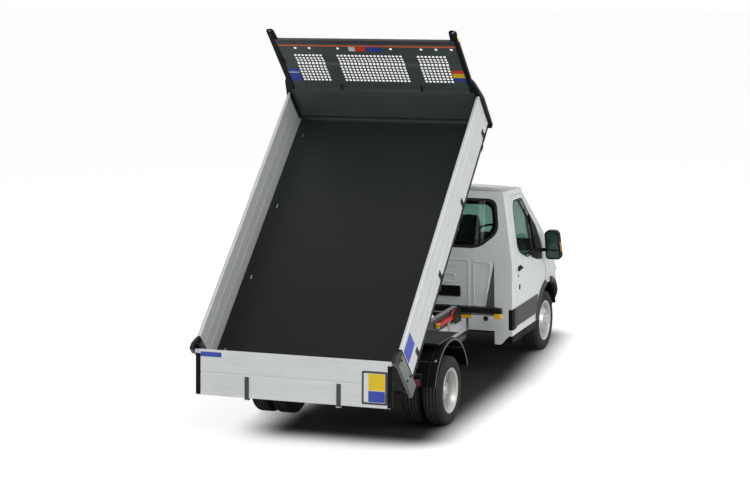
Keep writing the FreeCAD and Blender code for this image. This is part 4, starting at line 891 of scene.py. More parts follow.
# ---------------------------------------------------------------- the stage
class TRUCK_OT_stage(bpy.types.Operator):
    """Pale floor with a painted shadow under the truck, soft lights and the camera"""
    bl_idname = "truck.stage"
    bl_label = "Stage"

    def execute(self, context):
        stage = context.scene.truck_stage
        self.floor()
        self.sky(context.scene, stage.sky)
        aim = Vector((0, REAR_WHEEL.y - 0.63, 1.61))
        self.lamp("key_light", (-5, 7, 10), aim, stage.key, 7)
        self.lamp("side_light", (-10, 1, 4.5), aim, stage.key * 0.75, 5)
        self.lamp("rear_light", (5, 12, 5), aim, stage.key * 0.28, 6)
        self.lamp("front_light", (4, -11, 6), aim, stage.key * 0.6, 6)
        flat_reach = stage.distance * math.cos(stage.elevation)
        offset = Vector((-math.sin(stage.heading) * flat_reach, math.cos(stage.heading) * flat_reach,
            stage.distance * math.sin(stage.elevation)))
        bpy.ops.object.camera_add(location=aim + offset)
        camera = context.object
        camera.name = "camera"
        look = (-offset).to_track_quat("-Z", "Y").to_matrix().to_4x4()
        camera.matrix_world = Matrix.Translation(aim + offset) @ look @ Matrix.Rotation(-stage.roll, 4, "Z")
        camera.data.lens = stage.lens
        camera.data.sensor_width = 36
        camera.data.clip_end = 200
        context.scene.camera = camera
        context.scene.view_settings.view_transform = "Standard"
        return {"FINISHED"}

    def floor(self):
        only()
        bpy.ops.mesh.primitive_plane_add(size=120)
        floor = active()
        floor.name = floor.data.name = "floor"
        f = Finish("pale_floor")
        seen = f.node("LightPath", output=0)
        # Painted shadow: round the truck's footprint the floor's colour turns dark and its glow for the camera fades
        # out.
        away = f.where(shift=(0.22, 0.36, 0))
        x, y = f.along("X", away), f.along("Y", away)
        ahead = (y * -1 - 0.2).over(0)
        across = x.maths("ABSOLUTE", x) - 0.62 + ahead * 0.11
        along = y.maths("ABSOLUTE", y) - 2.38
        reach = (across.over(0).power(2) + along.over(0).power(2)).power(0.5)
        glow = reach.between(0.1, 0.72, 0, 0.62) * seen
        # shade is the mask of the painted shadow on the floor's colour.
        shade = reach.between(0, 0.55)
        f.done(Base_Color=f.mix(shade, (0.03, 0.026, 0.028), (0.8, 0.8, 0.8)), Roughness=0.9,
            Specular_IOR_Level=0.1, Emission_Color=f.mix(glow, (0, 0, 0), (1, 1, 1)), Emission_Strength=1)
        floor.data.materials.append(f.material)
        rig.stage(floor)

    def sky(self, scene, strength):
        world = bpy.data.worlds.new("studio")
        scene.world = world
        world.use_nodes = True
        nodes = world.node_tree.nodes
        links = world.node_tree.links
        paths = nodes.new("ShaderNodeLightPath").outputs
        power = nodes.new("ShaderNodeMapRange")
        power.inputs["To Min"].default_value = strength
        power.inputs["To Max"].default_value = 1
        seen = paths["Is Camera Ray"]
        for kind in ("Is Transmission Ray", "Is Glossy Ray"):
            either = nodes.new("ShaderNodeMath")
            either.operation = "MAXIMUM"
            links.new(seen, either.inputs[0])
            links.new(paths[kind], either.inputs[1])
            seen = either.outputs[0]
        links.new(seen, power.inputs["Value"])
        background = nodes["Background"]
        background.inputs["Color"].default_value = (1, 1, 1, 1)
        links.new(power.outputs[0], background.inputs["Strength"])

    def lamp(self, name, place, aim, power, size):
        bpy.ops.object.light_add(type="AREA", location=place)
        lamp = bpy.context.object
        lamp.name = name
        lamp.data.energy = power
        lamp.data.size = size
        lamp.rotation_euler = (aim - Vector(place)).to_track_quat("-Z", "Y").to_euler()


# ---------------------------------------------------------------- wheels
def tyre_profile(groove):
    """Half the tyre from the middle of the tread to the bead, then its image."""
    half = [(0.0, 0.345)]
    for middle_of_groove in (0.019, 0.052):
        half += [(middle_of_groove - 0.0075, 0.3448), (middle_of_groove - 0.005, 0.3448 - groove),
            (middle_of_groove + 0.005, 0.3448 - groove), (middle_of_groove + 0.0075, 0.3445)]
    half += [(0.068, 0.3425), (0.077, 0.3385), (0.083, 0.332), (0.0865, 0.324), (0.089, 0.3235),
        (0.0925, 0.312), (0.0955, 0.298), (0.0972, 0.297), (0.0975, 0.288), (0.0966, 0.286), (0.0972, 0.272),
        (0.0965, 0.256), (0.094, 0.243), (0.095, 0.241), (0.093, 0.236), (0.0905, 0.234), (0.088, 0.23),
        (0.085, 0.22), (0.08, 0.2063)]
    return half + [(-a, r) for a, r in reversed(half) if a > 0]


def wheel_nut(place, side, radius, tall):
    """A hexagon nut with its cone and stud, facing outwards."""
    drum(6, radius, tall, place)
    nut = rounded(place_kept(), 0.0015, 1)
    reach = Vector((side * tall / 2, 0, 0))
    stud = lathe([(0, 0), (0, 0.0065), (0.01 * side, 0.0065), (0.012 * side, 0.005), (0.012 * side, 0)],
        place + reach, steps=12)
    washer = lathe([(-0.001, 0.008), (-0.001, 0.018), (0.003, 0.017), (0.003, 0.008)], place - reach,
        steps=20)
    return joined(nut, stud, washer)


class TRUCK_OT_tyres(bpy.types.Operator):
    """Six grooved tyres"""
    bl_idname = "truck.tyres"
    bl_label = "Tyres"

    def execute(self, context):
        profile = tyre_profile(context.scene.truck_sizes.tread_depth)
        first = lathe(profile, (0, 0, 0), steps=112)
        unwrap_round(first, SIPES)
        for word, _ in SIDES:
            for node, body, offsets in (
                ("_front_tyre", "_front_wheel", (0,)),
                ("_rear_tyres", "_rear_wheels", (-TWIN, TWIN)),
            ):
                centre = middle(word + node)
                tyres = [copied(first, Matrix.Translation(centre + Vector((offset, 0, 0))))
                    for offset in offsets]
                settle(word + node + "_looks", "here", "tyre_rubber", *tyres, body=word + body, smooth=45,
                    replaces=[word + node])
        bpy.data.objects.remove(first)
        return {"FINISHED"}


def rim_barrel(centre):
    """The rolled barrel of a steel rim with its two bead flanges."""
    outer = [(-0.0925, 0.226), (-0.09, 0.2285), (-0.0875, 0.226), (-0.081, 0.2058), (-0.06, 0.2055),
        (-0.052, 0.196), (0.02, 0.19), (0.052, 0.196), (0.06, 0.2055), (0.081, 0.2058), (0.0875, 0.226),
        (0.09, 0.2285), (0.0925, 0.226)]
    inner = [(0.09, 0.216), (0.083, 0.202), (0.056, 0.195), (0.022, 0.184), (-0.022, 0.184), (-0.056, 0.195),
        (-0.083, 0.202), (-0.09, 0.216)]
    return lathe(outer + inner, centre, steps=80)


class TRUCK_OT_rims(bpy.types.Operator):
    """Steel wheels with pierced discs, nuts and hub caps"""
    bl_idname = "truck.rims"
    bl_label = "Rims"

    def execute(self, context):
        nuts = context.scene.truck_sizes.wheel_nuts
        for word, side in SIDES:
            self.front(word, side, nuts)
            self.rear(word, side, nuts)
        return {"FINISHED"}

    def front(self, word, side, nuts):
        centre = middle(word + "_front_tyre")
        barrel = rim_barrel(centre)
        face = [(0.026, 0.186), (0.034, 0.1865), (0.046, 0.182), (0.051, 0.174), (0.058, 0.146),
            (0.086, 0.124), (0.098, 0.113), (0.1, 0.104), (0.1, 0.066), (0.092, 0.066), (0.092, 0.104),
            (0.088, 0.11), (0.078, 0.118), (0.05, 0.14), (0.043, 0.172), (0.04, 0.176)]
        disc = lathe([(a * side, r) for a, r in face], centre, steps=80)
        hole = drum(18, 0.015, 0.08, centre + Vector((side * 0.05, 0, 0.158)))
        cut_away(disc, ring_of(hole, 14, centre))
        nut = wheel_nut(centre + Vector((side * 0.106, 0, 0.088)), side, radius=0.01, tall=0.012)
        ring = ring_of(nut, nuts, centre)
        cap = lathe([(side * a, r) for a, r in ((0.098, 0), (0.098, 0.07), (0.104, 0.072), (0.118, 0.066),
            (0.124, 0.054), (0.125, 0.042), (0.1215, 0.038), (0.1225, 0.012), (0.1225, 0))], centre, steps=48,
            closed=False)
        wheel = joined(barrel, disc, ring)
        stand_in(word + "_front_rim", "here", "wheel_silver", wheel, body=word + "_front_wheel")
        settle(word + "_front_hub_cap", "here", "wheel_silver", cap, body=word + "_front_wheel")

    def rear(self, word, side, nuts):
        centre = middle(word + "_rear_tyres")
        made = []
        for out in (side, -side):
            wheel_centre = centre + Vector((out * TWIN, 0, 0))
            barrel = rim_barrel(wheel_centre)
            face = [(0.03, 0.1855), (0.022, 0.1865), (-0.05, 0.18), (-0.066, 0.166), (-0.098, 0.132),
                (-0.1035, 0.112), (-0.1035, 0.0412), (-0.1115, 0.0412), (-0.1115, 0.118), (-0.106, 0.136),
                (-0.074, 0.172), (-0.056, 0.1865)]
            dish = lathe([(a * out, r) for a, r in face], wheel_centre, steps=80)
            hole = drum(18, 0.017, 0.12, wheel_centre + Vector((-out * 0.08, 0, 0.15)))
            cut_away(dish, ring_of(hole, 8, wheel_centre))
            made += [barrel, dish]
        wheel = joined(*made)
        stand_in(word + "_rear_rims", "here", "wheel_silver", wheel, body=word + "_rear_wheels")
        hub = lathe([(side * a, r) for a, r in ((0.009, 0.122), (0.02, 0.118), (0.118, 0.106), (0.124, 0.1),
            (0.124, 0.06), (0.13, 0.054), (0.152, 0.05), (0.157, 0.044), (0.157, 0), (0.146, 0),
            (0.146, 0.04), (0.113, 0.05), (0.113, 0.094), (0.009, 0.112))], centre, steps=56, closed=False)
        nut = wheel_nut(centre + Vector((side * 0.135, 0, 0.082)), side, radius=0.015, tall=0.022)
        settle(word + "_rear_hub", "here", "wheel_silver", hub, ring_of(nut, nuts, centre),
            body=word + "_rear_wheels")


# ---------------------------------------------------------------- the tipping bed
def side_section(inner, outer, top):
    """A hollow plank seen along the bed: shallow grooves on both faces and a thick rolled rim."""
    points = [(inner, -0.008)]
    for groove in (0.132, 0.266):
        points += [(inner, groove - 0.003), (inner + 0.002, groove - 0.001), (inner + 0.002, groove + 0.001),
            (inner, groove + 0.003)]
    points += [(inner, top - 0.03), (inner - 0.003, top - 0.026), (inner - 0.003, top - 0.006),
        (inner + 0.002, top), (outer - 0.002, top), (outer + 0.003, top - 0.006),
        (outer + 0.003, top - 0.026), (outer, top - 0.03)]
    for groove in (0.266, 0.132):
        points += [(outer, groove + 0.003), (outer - 0.002, groove + 0.001), (outer - 0.002, groove - 0.001),
            (outer, groove - 0.003)]
    return points + [(outer, 0.03), (outer + 0.002, 0.026), (outer + 0.002, -0.008)]


def blank_label(name, face, colour, size, place="bed", body=None, slot="bed_paint", plane="XZ", thick=0.0012):
    """A thin plate in one colour with nothing printed on it."""
    plate = flat(round_box(*size, 0.006), (face, face + thick), plane, bevel=0.0004, segments=1)
    settle(name, place, colour, plate, body=body, slot=slot)


class TRUCK_OT_dropsides(bpy.types.Operator):
    """Aluminium drop sides with hinges, end caps and a blank label"""
    bl_idname = "truck.dropsides"
    bl_label = "Drop sides"

    def execute(self, context):
        for word, side in SIDES:
            body = word + "_dropside"
            rear_end, front_end = -0.136, -BED_LONG + 0.006
            panel = flat(flip(side_section(1.0205, 1.0495, SIDE_TALL), side), (front_end, rear_end),
                bevel=0.0007, segments=1, angle=20)
            parts = []
            for share in (0.06, 0.35, 0.64, 0.93):
                y = -BED_LONG + share * (BED_LONG - 0.15)
                barrel = lathe([(-0.0295, 0.0065), (-0.0295, 0.0088), (0.0295, 0.0088), (0.0295, 0.0065)],
                    (side * 1.06, y, -0.012), "Y", steps=20)
                strap = flat(flip([(1.049, -0.006), (1.0675, -0.0145), (1.0688, -0.01), (1.056, 0.004),
                    (1.0535, 0.02), (1.0535, 0.085), (1.049, 0.085)], side), (y - 0.029, y + 0.029),
                    bevel=0.001)
                parts += [barrel, strap]
                for up in (0.045, 0.072):
                    parts.append(lathe([(-0.001, 0), (-0.001, 0.006), (0.0015, 0.0055), (0.003, 0.003),
                        (0.0033, 0)], (side * 1.0533, y, up), "X", steps=14, closed=False))
            settle(word + "_side_hinges", "bed", "bed_frame", *parts, body=body, slot="galvanised")
            stand_in(word + "_dropside", "bed", "bed_alloy", panel, body=body)
            for end, name, away in ((rear_end, "rear", 0.0025), (front_end, "front", -0.0025)):
                cap = flat(flip(round_box((1.0185, 1.0515), (-0.006, SIDE_TALL + 0.001), 0.004), side),
                    (end, end + away), bevel=0.0008)
                settle("%s_side_%s_cap" % (word, name), "bed", "black_grain", cap, body=body)
        blank_label("right_side_label", -1.0512, "label_blue", ((-0.38, -0.15), (0.15, 0.34)),
            body="right_dropside", slot="aluminium", plane="YZ")
        return {"FINISHED"}


class TRUCK_OT_tailgate(bpy.types.Operator):
    """Top-hung tailgate with its groove, end caps, straps and plates"""
    bl_idname = "truck.tailgate"
    bl_label = "Tailgate"

    def execute(self, context):
        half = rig.box("tailgate")[1].x
        outer, inner, top, foot = -0.001, -0.029, 0.015, -0.425
        section = [(outer - 0.003, top), (outer, top - 0.004), (outer, -0.196), (outer - 0.005, -0.199),
            (outer - 0.005, -0.211), (outer, -0.214), (outer, foot + 0.022), (outer + 0.002, foot + 0.018),
            (outer + 0.002, foot), (inner, foot)]
        for groove in (-0.29, -0.15):
            section += [(inner, groove - 0.005), (inner + 0.003, groove - 0.002),
                (inner + 0.003, groove + 0.002), (inner, groove + 0.005)]
        section += [(inner, top - 0.004), (inner + 0.003, top)]
        panel = flat(section, (-half + 0.018, half - 0.018), "YZ", bevel=0.0008, segments=1, angle=20)
        parts = [panel]
        for side in (1, -1):
            lug = flat([(-0.016, -0.022), (0.006, -0.022), (0.016, -0.012), (0.016, 0.008), (0.01, 0.0145),
                (-0.016, 0.0145)], (side * (half - 0.025), side * half), "YZ",
                holes=[disc_hole(0, 0, 0.0106)], bevel=0.001)
            parts.append(lug)
        stand_in("tailgate", "gate", "gate_alloy", *parts)
        for word, side in SIDES:
            cap = flat([(inner - 0.0015, foot + 0.003), (outer + 0.0035, foot + 0.003),
                (outer + 0.0035, -0.024), (inner - 0.0015, -0.024)], (side * (half - 0.052),
                side * (half - 0.002)), "YZ", bevel=0.003)
            settle(word + "_gate_cap", "gate", "black_grain", cap)
            x = side * 0.47
            strap = flat([(outer, -0.222), (outer + 0.007, -0.226), (outer + 0.008, foot - 0.004),
                (outer + 0.014, foot - 0.01), (outer + 0.014, foot - 0.014), (inner + 0.004, foot - 0.014),
                (inner + 0.004, foot - 0.001), (outer, foot - 0.001)], (x - 0.021, x + 0.021), "YZ",
                bevel=0.0015)
            settle(word + "_gate_strap", "gate", "grey_grain", strap)
            toe = flat(round_box((x - 0.024, x + 0.024), (foot - 0.021, foot - 0.013), 0.003),
                (inner + 0.004, outer + 0.012), bevel=0.002)
            settle(word + "_gate_toe", "gate", "bright_steel", toe, slot="galvanised")
        plate = outer + 0.0002
        blank_label("gate_label_blue", plate, "label_blue", ((0.735, 0.955), (-0.052, -0.006)), "gate",
            slot="aluminium")
        rim = flat(round_box((-0.955, -0.702), (-0.396, -0.082), 0.012), (plate, plate + 0.003), bevel=0.001)
        settle("gate_plate", "gate", "grey_grain", rim)
        for colour, up, size in (
            ("white", 0.003, ((-0.935, -0.722), (-0.376, -0.102))),
            ("yellow", 0.0038, ((-0.933, -0.768), (-0.262, -0.106))),
            ("blue", 0.0038, ((-0.933, -0.768), (-0.372, -0.268))),
        ):
            blank_label("gate_plate_" + colour, plate + up, "label_" + colour, size, "gate", slot="aluminium",
                thick=0.0008)
        return {"FINISHED"}


class TRUCK_OT_headboard(bpy.types.Operator):
    """Pierced and pressed headboard between two posts"""
    bl_idname = "truck.headboard"
    bl_label = "Headboard"

    def execute(self, context):
        sizes = context.scene.truck_sizes
        back = -BED_LONG - 0.03
        front = -BED_LONG - 0.0002
        settle("headboard_sheet", "bed", "board_satin", self.sheet(sizes, back + 0.014), smooth=25,
            replaces=["headboard"])
        rail = flat([(back, 1.12), (back, 1.19), (front, 1.19), (front, 1.172), (front - 0.006, 1.166),
            (front - 0.006, 1.132), (front, 1.127), (front, 1.12)], (-0.966, 0.966), "YZ", bevel=0.002)
        middle_rail = flat([(back, 0.415), (back, 0.48), (back + 0.01, 0.48), (back + 0.01, 0.452),
            (front - 0.002, 0.446), (front - 0.002, 0.415)], (-0.966, 0.966), "YZ", bevel=0.002)
        bend = arc((front + 0.05, 0.05), 0.048, 180, 270, 9)
        cove = flat([(front, -0.02), (front, 0.06), (front + 0.002, 0.06), *bend, (front + 0.052, 0)],
            (-1.012, 1.012), "YZ", bevel=0)
        bulkhead = flat([(front - 0.004, 0.03), (front - 0.004, 0.436), (front, 0.44), (front + 0.003, 0.434),
            (front + 0.003, 0.03)], (-1.012, 1.012), "YZ", bevel=0.0012)
        posts = []
        for side in (1, -1):
            outline = [(back, -0.1), (back, 1.3), (back + 0.006, 1.322), (front - 0.006, 1.322),
                (front, 1.31), (front, 1.195), (front + 0.001, 0.44), (front, -0.1)]
            web = flat(outline, (side * 1.0145, side * 1.0085), "YZ", bevel=0.0012)
            channel = flat(flip([(0.965, back), (1.0145, back), (1.0145, front), (0.965, front),
                (0.965, front - 0.005), (1.009, front - 0.005), (1.009, back + 0.005), (0.965, back + 0.005)],
                side), (-0.1, 1.285), "XY", bevel=0.0012)
            ear = flat(flip(filleted([(0.925, 1.165), (1.0145, 1.165), (1.0145, 1.285), (0.997, 1.334),
                (0.95, 1.334), (0.936, 1.31)], 0.012), side), (back + 0.012, back + 0.019),
                holes=[disc_hole(side * 0.982, 1.296, 0.014)], bevel=0.0015)
            outer = flat(flip(filleted([(1.014, -0.095), (1.07, -0.095), (1.084, -0.07), (1.084, 0.35),
                (1.04, 0.56), (1.014, 0.62)], 0.01), side), (back - 0.004, front - 0.0015), bevel=0.004)
            inside = flat([(front + 0.001, 0.04), (front + 0.058, 0.04), (front + 0.058, 0.395),
                (front + 0.02, 0.44), (front + 0.001, 0.44)], (side * 1.0085, side * 1.0145), "YZ",
                bevel=0.0015)
            posts += [web, channel, ear, outer, inside]
        settle("headboard_frame", "bed", "bed_frame", *posts)
        settle("headboard_rails", "bed", "dark_frame", rail, middle_rail)
        settle("bulkhead", "bed", "board_satin", bulkhead)
        settle("cove", "bed", "bed_satin", cove)
        stripe = flat(round_box((-0.958, 0.958), (1.088, 1.119), 0.003), (back + 0.0172, back + 0.0186),
            bevel=0.0005)
        settle("headboard_stripe", "bed", "stripe_orange", stripe)
        self.labels(back + 0.0172)
        clips = [slab((x - 0.007, x + 0.007), (front + 0.001, front + 0.012), (0.462, 0.535), 0.002)
            for x in (0.418, -0.459)]
        settle("headboard_clips", "bed", "black_satin", *clips)
        mark = flat(round_box((back + 0.004, front - 0.003), (1.18, 1.265), 0.003), (-1.0155, -1.0146), "YZ",
            bevel=0.0003)
        settle("post_mark", "bed", "label_yellow", mark)
        return {"FINISHED"}

    def sheet(self, sizes, middle_y):
        half = sizes.mesh_hole / 2
        holes = []
        for centre, columns in ((0, 18), (0.668, 8), (-0.668, 8)):
            for row in (0.95, 0.905, 0.865, 0.825, 0.785, 0.745, 0.705, 0.665, 0.625, 0.585):
                for column in range(columns):
                    x = centre + (column - (columns - 1) / 2) * sizes.mesh_pitch
                    holes.append(box_outline(x - half, x + half, row - half, row + half))
        for x in (0.778, 0.623, 0.311, -0.261, -0.585, -0.744, -0.904):
            holes.append(disc_hole(x, 1.057, 0.015, 16))
        sheet = flat(box_outline(-0.975, 0.975, 0.43, 1.16), (middle_y - 0.0015, middle_y + 0.0015),
            holes=holes, bevel=0)
        low, crest, high = 0.8, (0.8425, 0.8475), 0.93
        sliced(sheet, "Z", low, *crest, high)
        for vertex in sheet.data.vertices:
            rise = min(portion(vertex.co.z, low, crest[0] - low), portion(high, vertex.co.z, high - crest[1]))
            vertex.co.y -= sizes.swage * rise * 0.32
        return sheet

    def labels(self, face):
        for name, up, colour, size in (
            ("left", 0, "blue", ((0.834, 0.962), (0.57, 0.755))),
            ("line", 0.0006, "white", ((0.838, 0.958), (0.688, 0.702))),
            ("red", 0, "red", ((-0.963, -0.835), (0.712, 0.757))),
            ("yellow", 0, "yellow", ((-0.963, -0.835), (0.65, 0.711))),
            ("blue", 0, "blue", ((-0.963, -0.835), (0.602, 0.649))),
            ("centre_white", 0, "white", ((0.125, 0.194), (1.022, 1.084))),
            ("centre_red", 0, "red", ((0.012, 0.124), (1.022, 1.084))),
            ("centre_blue", 0, "blue", ((-0.16, 0.011), (1.022, 1.084))),
        ):
            blank_label("board_label_" + name, face + up, "label_" + colour, size)


class TRUCK_OT_bed_floor(bpy.types.Operator):
    """Load floor with its folded creases, lashing cups and rope hooks"""
    bl_idname = "truck.bed_floor"
    bl_label = "Load floor"

    def execute(self, context):
        body = softened("bed_floor", 0.0025, 1)
        body.data.transform(BED.inverted())
        rave_inner, rave_top, thinner = 0.985, -0.035, 0.35
        for vertex in body.data.vertices:
            if abs(vertex.co.x) > rave_inner and vertex.co.z < rave_top:
                vertex.co.z = rave_top + (vertex.co.z - rave_top) * thinner
        body.data.transform(BED)
        stand_in("bed_floor", "here", "bed_frame", body, body="tipping_bed")
        right = [(0.004, 0.0012), (0.74, 0.0012), (0.75, 0.0022), (0.76, 0.0014), (1.0145, 0.0036),
            (1.0145, 0.0002)]
        section = flip(reversed(right), -1) + [(0, 0.002)] + right
        sheet = flat(section, (-BED_LONG + 0.002, -0.002), bevel=0)
        settle("load_sheet", "bed", "bed_satin", sheet, smooth=40)
        self.cups()
        self.hooks()
        lip = flat([(-0.002, -0.031), (0.0012, -0.031), (0.0012, 0), (0.0005, 0.004), (-0.03, 0.004),
            (-0.03, 0.001), (-0.002, 0.001)], (-1.013, 1.013), "YZ", bevel=0.0008)
        settle("rear_lip", "bed", "bed_frame", lip)
        return {"FINISHED"}

    def cups(self):
        """Lashing cups sunk along both edges of the floor, each with a bar across it."""
        rims = []
        bars = []
        for side in (1, -1):
            for y in (-0.26, -1.168, -2.091, -3.048):
                rims.append(lathe([(0.0018, 0.02), (0.003, 0.0205), (0.004, 0.024), (0.0036, 0.027),
                    (0.0018, 0.029)], (side * 0.93, y, 0), "Z", steps=28))
                bars.append(pipe([(side * 0.93, y - 0.021, 0.003), (side * 0.93, y - 0.012, 0.0065),
                    (side * 0.93, y + 0.012, 0.0065), (side * 0.93, y + 0.021, 0.003)], 0.0035))
        settle("lashing_rims", "bed", "bed_frame", *rims)
        settle("lashing_bars", "bed", "bright_steel", *bars, slot="galvanised")

    def hooks(self):
        """Rope hooks under the outer edge of each rave."""
        hooks = []
        for side in (1, -1):
            for y in (-0.263, -1.182, -2.083, -2.99):
                points = [(side * 1.047, y - 0.034, -0.042), (side * 1.055, y - 0.03, -0.046),
                    (side * 1.059, y - 0.02, -0.04), (side * 1.06, y + 0.016, -0.04), (side * 1.058, y + 0.03,
                    -0.044), (side * 1.05, y + 0.034, -0.05), (side * 1.044, y + 0.032, -0.052)]
                hooks.append(pipe(points, 0.005))
        settle("rope_hooks", "bed", "black_satin", *hooks)


class TRUCK_OT_corner_posts(bpy.types.Operator):
    """Galvanised rear posts with bolts, catches and the tailgate's hinge heads"""
    bl_idname = "truck.corner_posts"
    bl_label = "Corner posts"

    def execute(self, context):
        made = []
        bolts = []
        for side in (1, -1):
            inner, outer = 1.0158, 1.048
            rear, ahead = 0.02, -0.13
            outline = [(ahead, -0.17), (ahead, 0.395), (ahead + 0.02, 0.418), (rear - 0.035, 0.46),
                (0.052, 0.46), (0.052, 0.38), (rear, 0.372), (rear, -0.17)]
            web = flat(outline, (side * inner, side * (inner + 0.006)), "YZ",
                holes=[disc_hole(ahead + 0.035, -0.135, 0.009)], bevel=0.0012)
            flange = flat(flip([(inner + 0.004, rear), (outer, rear), (outer, rear - 0.006),
                (inner + 0.004, rear - 0.006)], side), (-0.165, 0.372), "XY", bevel=0.0012)
            front_flange = flat(flip([(inner + 0.004, ahead), (outer, ahead), (outer, ahead + 0.006),
                (inner + 0.004, ahead + 0.006)], side), (-0.165, 0.395), "XY", bevel=0.0012)
            skin = flat([(ahead, -0.168), (ahead, 0.352), (rear, 0.352), (rear, -0.168)],
                (side * (outer - 0.004), side * outer), "YZ", holes=[disc_hole(*spot, 0.01)
                for spot in ((-0.1, -0.12), (-0.06, -0.095), (-0.045, -0.138))], bevel=0.0012)
            head = flat([(-0.002, 0.372), (0.05, 0.372), (0.056, 0.38), (0.056, 0.44), (0.048, 0.4595),
                (-0.002, 0.4595)], (side * (inner + 0.005), side * outer), "YZ", bevel=0.002)
            foot = flat([(ahead, -0.101), (-0.002, -0.101), (-0.002, -0.107), (ahead, -0.107)],
                (side * 0.962, side * (inner + 0.003)), "YZ", bevel=0.001)
            made += [web, flange, front_flange, skin, head, foot]
            for y, z in ((-0.1, 0.02), (-0.02, 0.06), (-0.06, 0.33)):
                bolts.append(hex_bolt((side * outer, y, z), Vector((side, 0, 0)), 0.012))
            pin = [(0, 0), (0, 0.0098), (-0.03, 0.0098), (-0.031, 0.0088), (-0.031, 0)]
            bolts.append(lathe(flip(pin, side), (side * 1.016, 0.034, 0.405), "X", steps=28, closed=False))
        stand_in("corner_posts", "bed", "galvanised", *made)
        settle("post_bolts", "bed", "cast_iron", *bolts, slot="galvanised")
        cap = flat([(ahead - 0.001, 0.345), (ahead - 0.001, 0.395), (ahead + 0.02, 0.421),
            (rear - 0.035, 0.4625), (0.05, 0.4625), (0.055, 0.455), (0.055, 0.378), (rear, 0.371),
            (rear, 0.345)], (1.0145, 1.0495), "YZ", bevel=0.004)
        settle("post_caps", "bed", "black_satin", mirrored(cap), slot="bed_paint")
        bracket = flat([(1.0155, 0.33), (1.0155, 0.44), (0.985, 0.42), (0.96, 0.395)], (-0.03, -0.024),
            bevel=0.001)
        settle("post_gussets", "bed", "black_satin", mirrored(bracket))
        return {"FINISHED"}


def hex_bolt(place, outwards, radius, tall=0.009):
    """A bolt head with its washer, standing out of a face."""
    outwards = Vector(outwards)
    turn = AXES["Z"].rotation_difference(outwards).to_euler()
    made = []
    for sides, wide, thick, rise, bevel in (
        (6, radius, tall, tall / 2 + 0.002, 0.0012),
        (16, radius * 1.35, 0.003, 0.0014, 0.0008),
    ):
        drum(sides, wide, thick, Vector(place) + outwards * rise, turn)
        made.append(rounded(place_kept(), bevel, 1))
    return joined(*made)


class TRUCK_OT_ram(bpy.types.Operator):
    """Telescopic ram: painted barrel, gland and polished stages"""
    bl_idname = "truck.ram"
    bl_label = "Ram"

    def execute(self, context):
        dress("ram_barrel", "black_satin", 0.004, body="ram_barrel")
        gland = lathe([(0.318, 0.0805), (0.318, 0.087), (0.324, 0.089), (0.341, 0.089), (0.347, 0.085),
            (0.3475, 0.0715), (0.3405, 0.0715), (0.3405, 0.0805)], (0, 0, 0), "Z", steps=64)
        settle("ram_gland", "ram", "black_satin", gland)
        for index in (1, 2, 3):
            node = "ram_stage_%d" % index
            dress(node, "chrome_steel", 0.003, body=node)
        return {"FINISHED"}


# ---------------------------------------------------------------- chassis and running gear
class TRUCK_OT_mudguards(bpy.types.Operator):
    """Moulded rear mudguards with beads, a rolled lip, stays and a top box"""
    bl_idname = "truck.mudguards"
    bl_label = "Mudguards"

    def execute(self, context):
        section = [(0.7, 0.531), (0.772, 0.531), (0.776, 0.5345), (0.788, 0.5345), (0.792, 0.531),
            (0.942, 0.531), (0.946, 0.5345), (0.958, 0.5345), (0.962, 0.531), (1.028, 0.531), (1.0355, 0.528),
            (1.0395, 0.521), (1.0395, 0.5), (1.034, 0.5), (1.034, 0.519), (1.027, 0.525), (0.706, 0.525),
            (0.706, 0.44), (0.7, 0.44)]
        hub = (0, 0, REAR_WHEEL.z)
        shell = lathe(section, hub, steps=60, start=-73.7, turn=147.4)
        parts = [rounded(shell, 0.0015, 1, 50)]
        parts.append(flat([(-0.3, 0.866), (-0.28, 0.88), (0.28, 0.88), (0.3, 0.866), (0.3, 0.86),
            (0.276, 0.874), (-0.276, 0.874), (-0.3, 0.86)], (0.702, 1.012), "YZ", bevel=0.001))
        for y in (0.318, -0.33):
            parts.append(slab((0.52, 0.7), (y - 0.022, y + 0.022), (0.7, 0.708), 0.001))
            parts.append(slab((0.52, 0.7), (y - 0.003, y + 0.003), (0.67, 0.702), 0.001))
        stand_in("mudguards", "rear", "black_grain", mirrored(*parts))
        # Painted highlight: a lighter grey lip along each mudguard's rolled edge and along its top tray's edge.
        lip = [lathe([(1.033, 0.529), (1.04, 0.52), (1.04, 0.506), (1.0385, 0.506), (1.0385, 0.519),
            (1.0325, 0.527)], hub, steps=60, start=-73.7, turn=147.4), slab((1.0105, 1.013), (-0.3, 0.3),
            (0.8735, 0.8805), 0.0005, 1)]
        settle("mudguard_lips", "rear", "edge_grain", mirrored(*lip))
        stays = []
        for y in (0.3745, -0.3745):
            for x in (0.755, 1.005):
                stays.append(hex_bolt((x, y * 1.03, REAR_WHEEL.z + 0.385), Vector((0, y, 0.364)).normalized(),
                    0.009, 0.006))
            stays.append(pipe([(0.461, y, 0.7088), (0.6, y, 0.7088), (0.7, y, 0.7088), (1.02, y, 0.7088)],
                0.011))
        stays.append(hex_bolt((0.76, 0.512, 0.6), (0, 1, 0), 0.009, 0.006))
        settle("mudguard_stays", "rear", "bright_steel", mirrored(*stays), slot="black_paint")
        return {"FINISHED"}


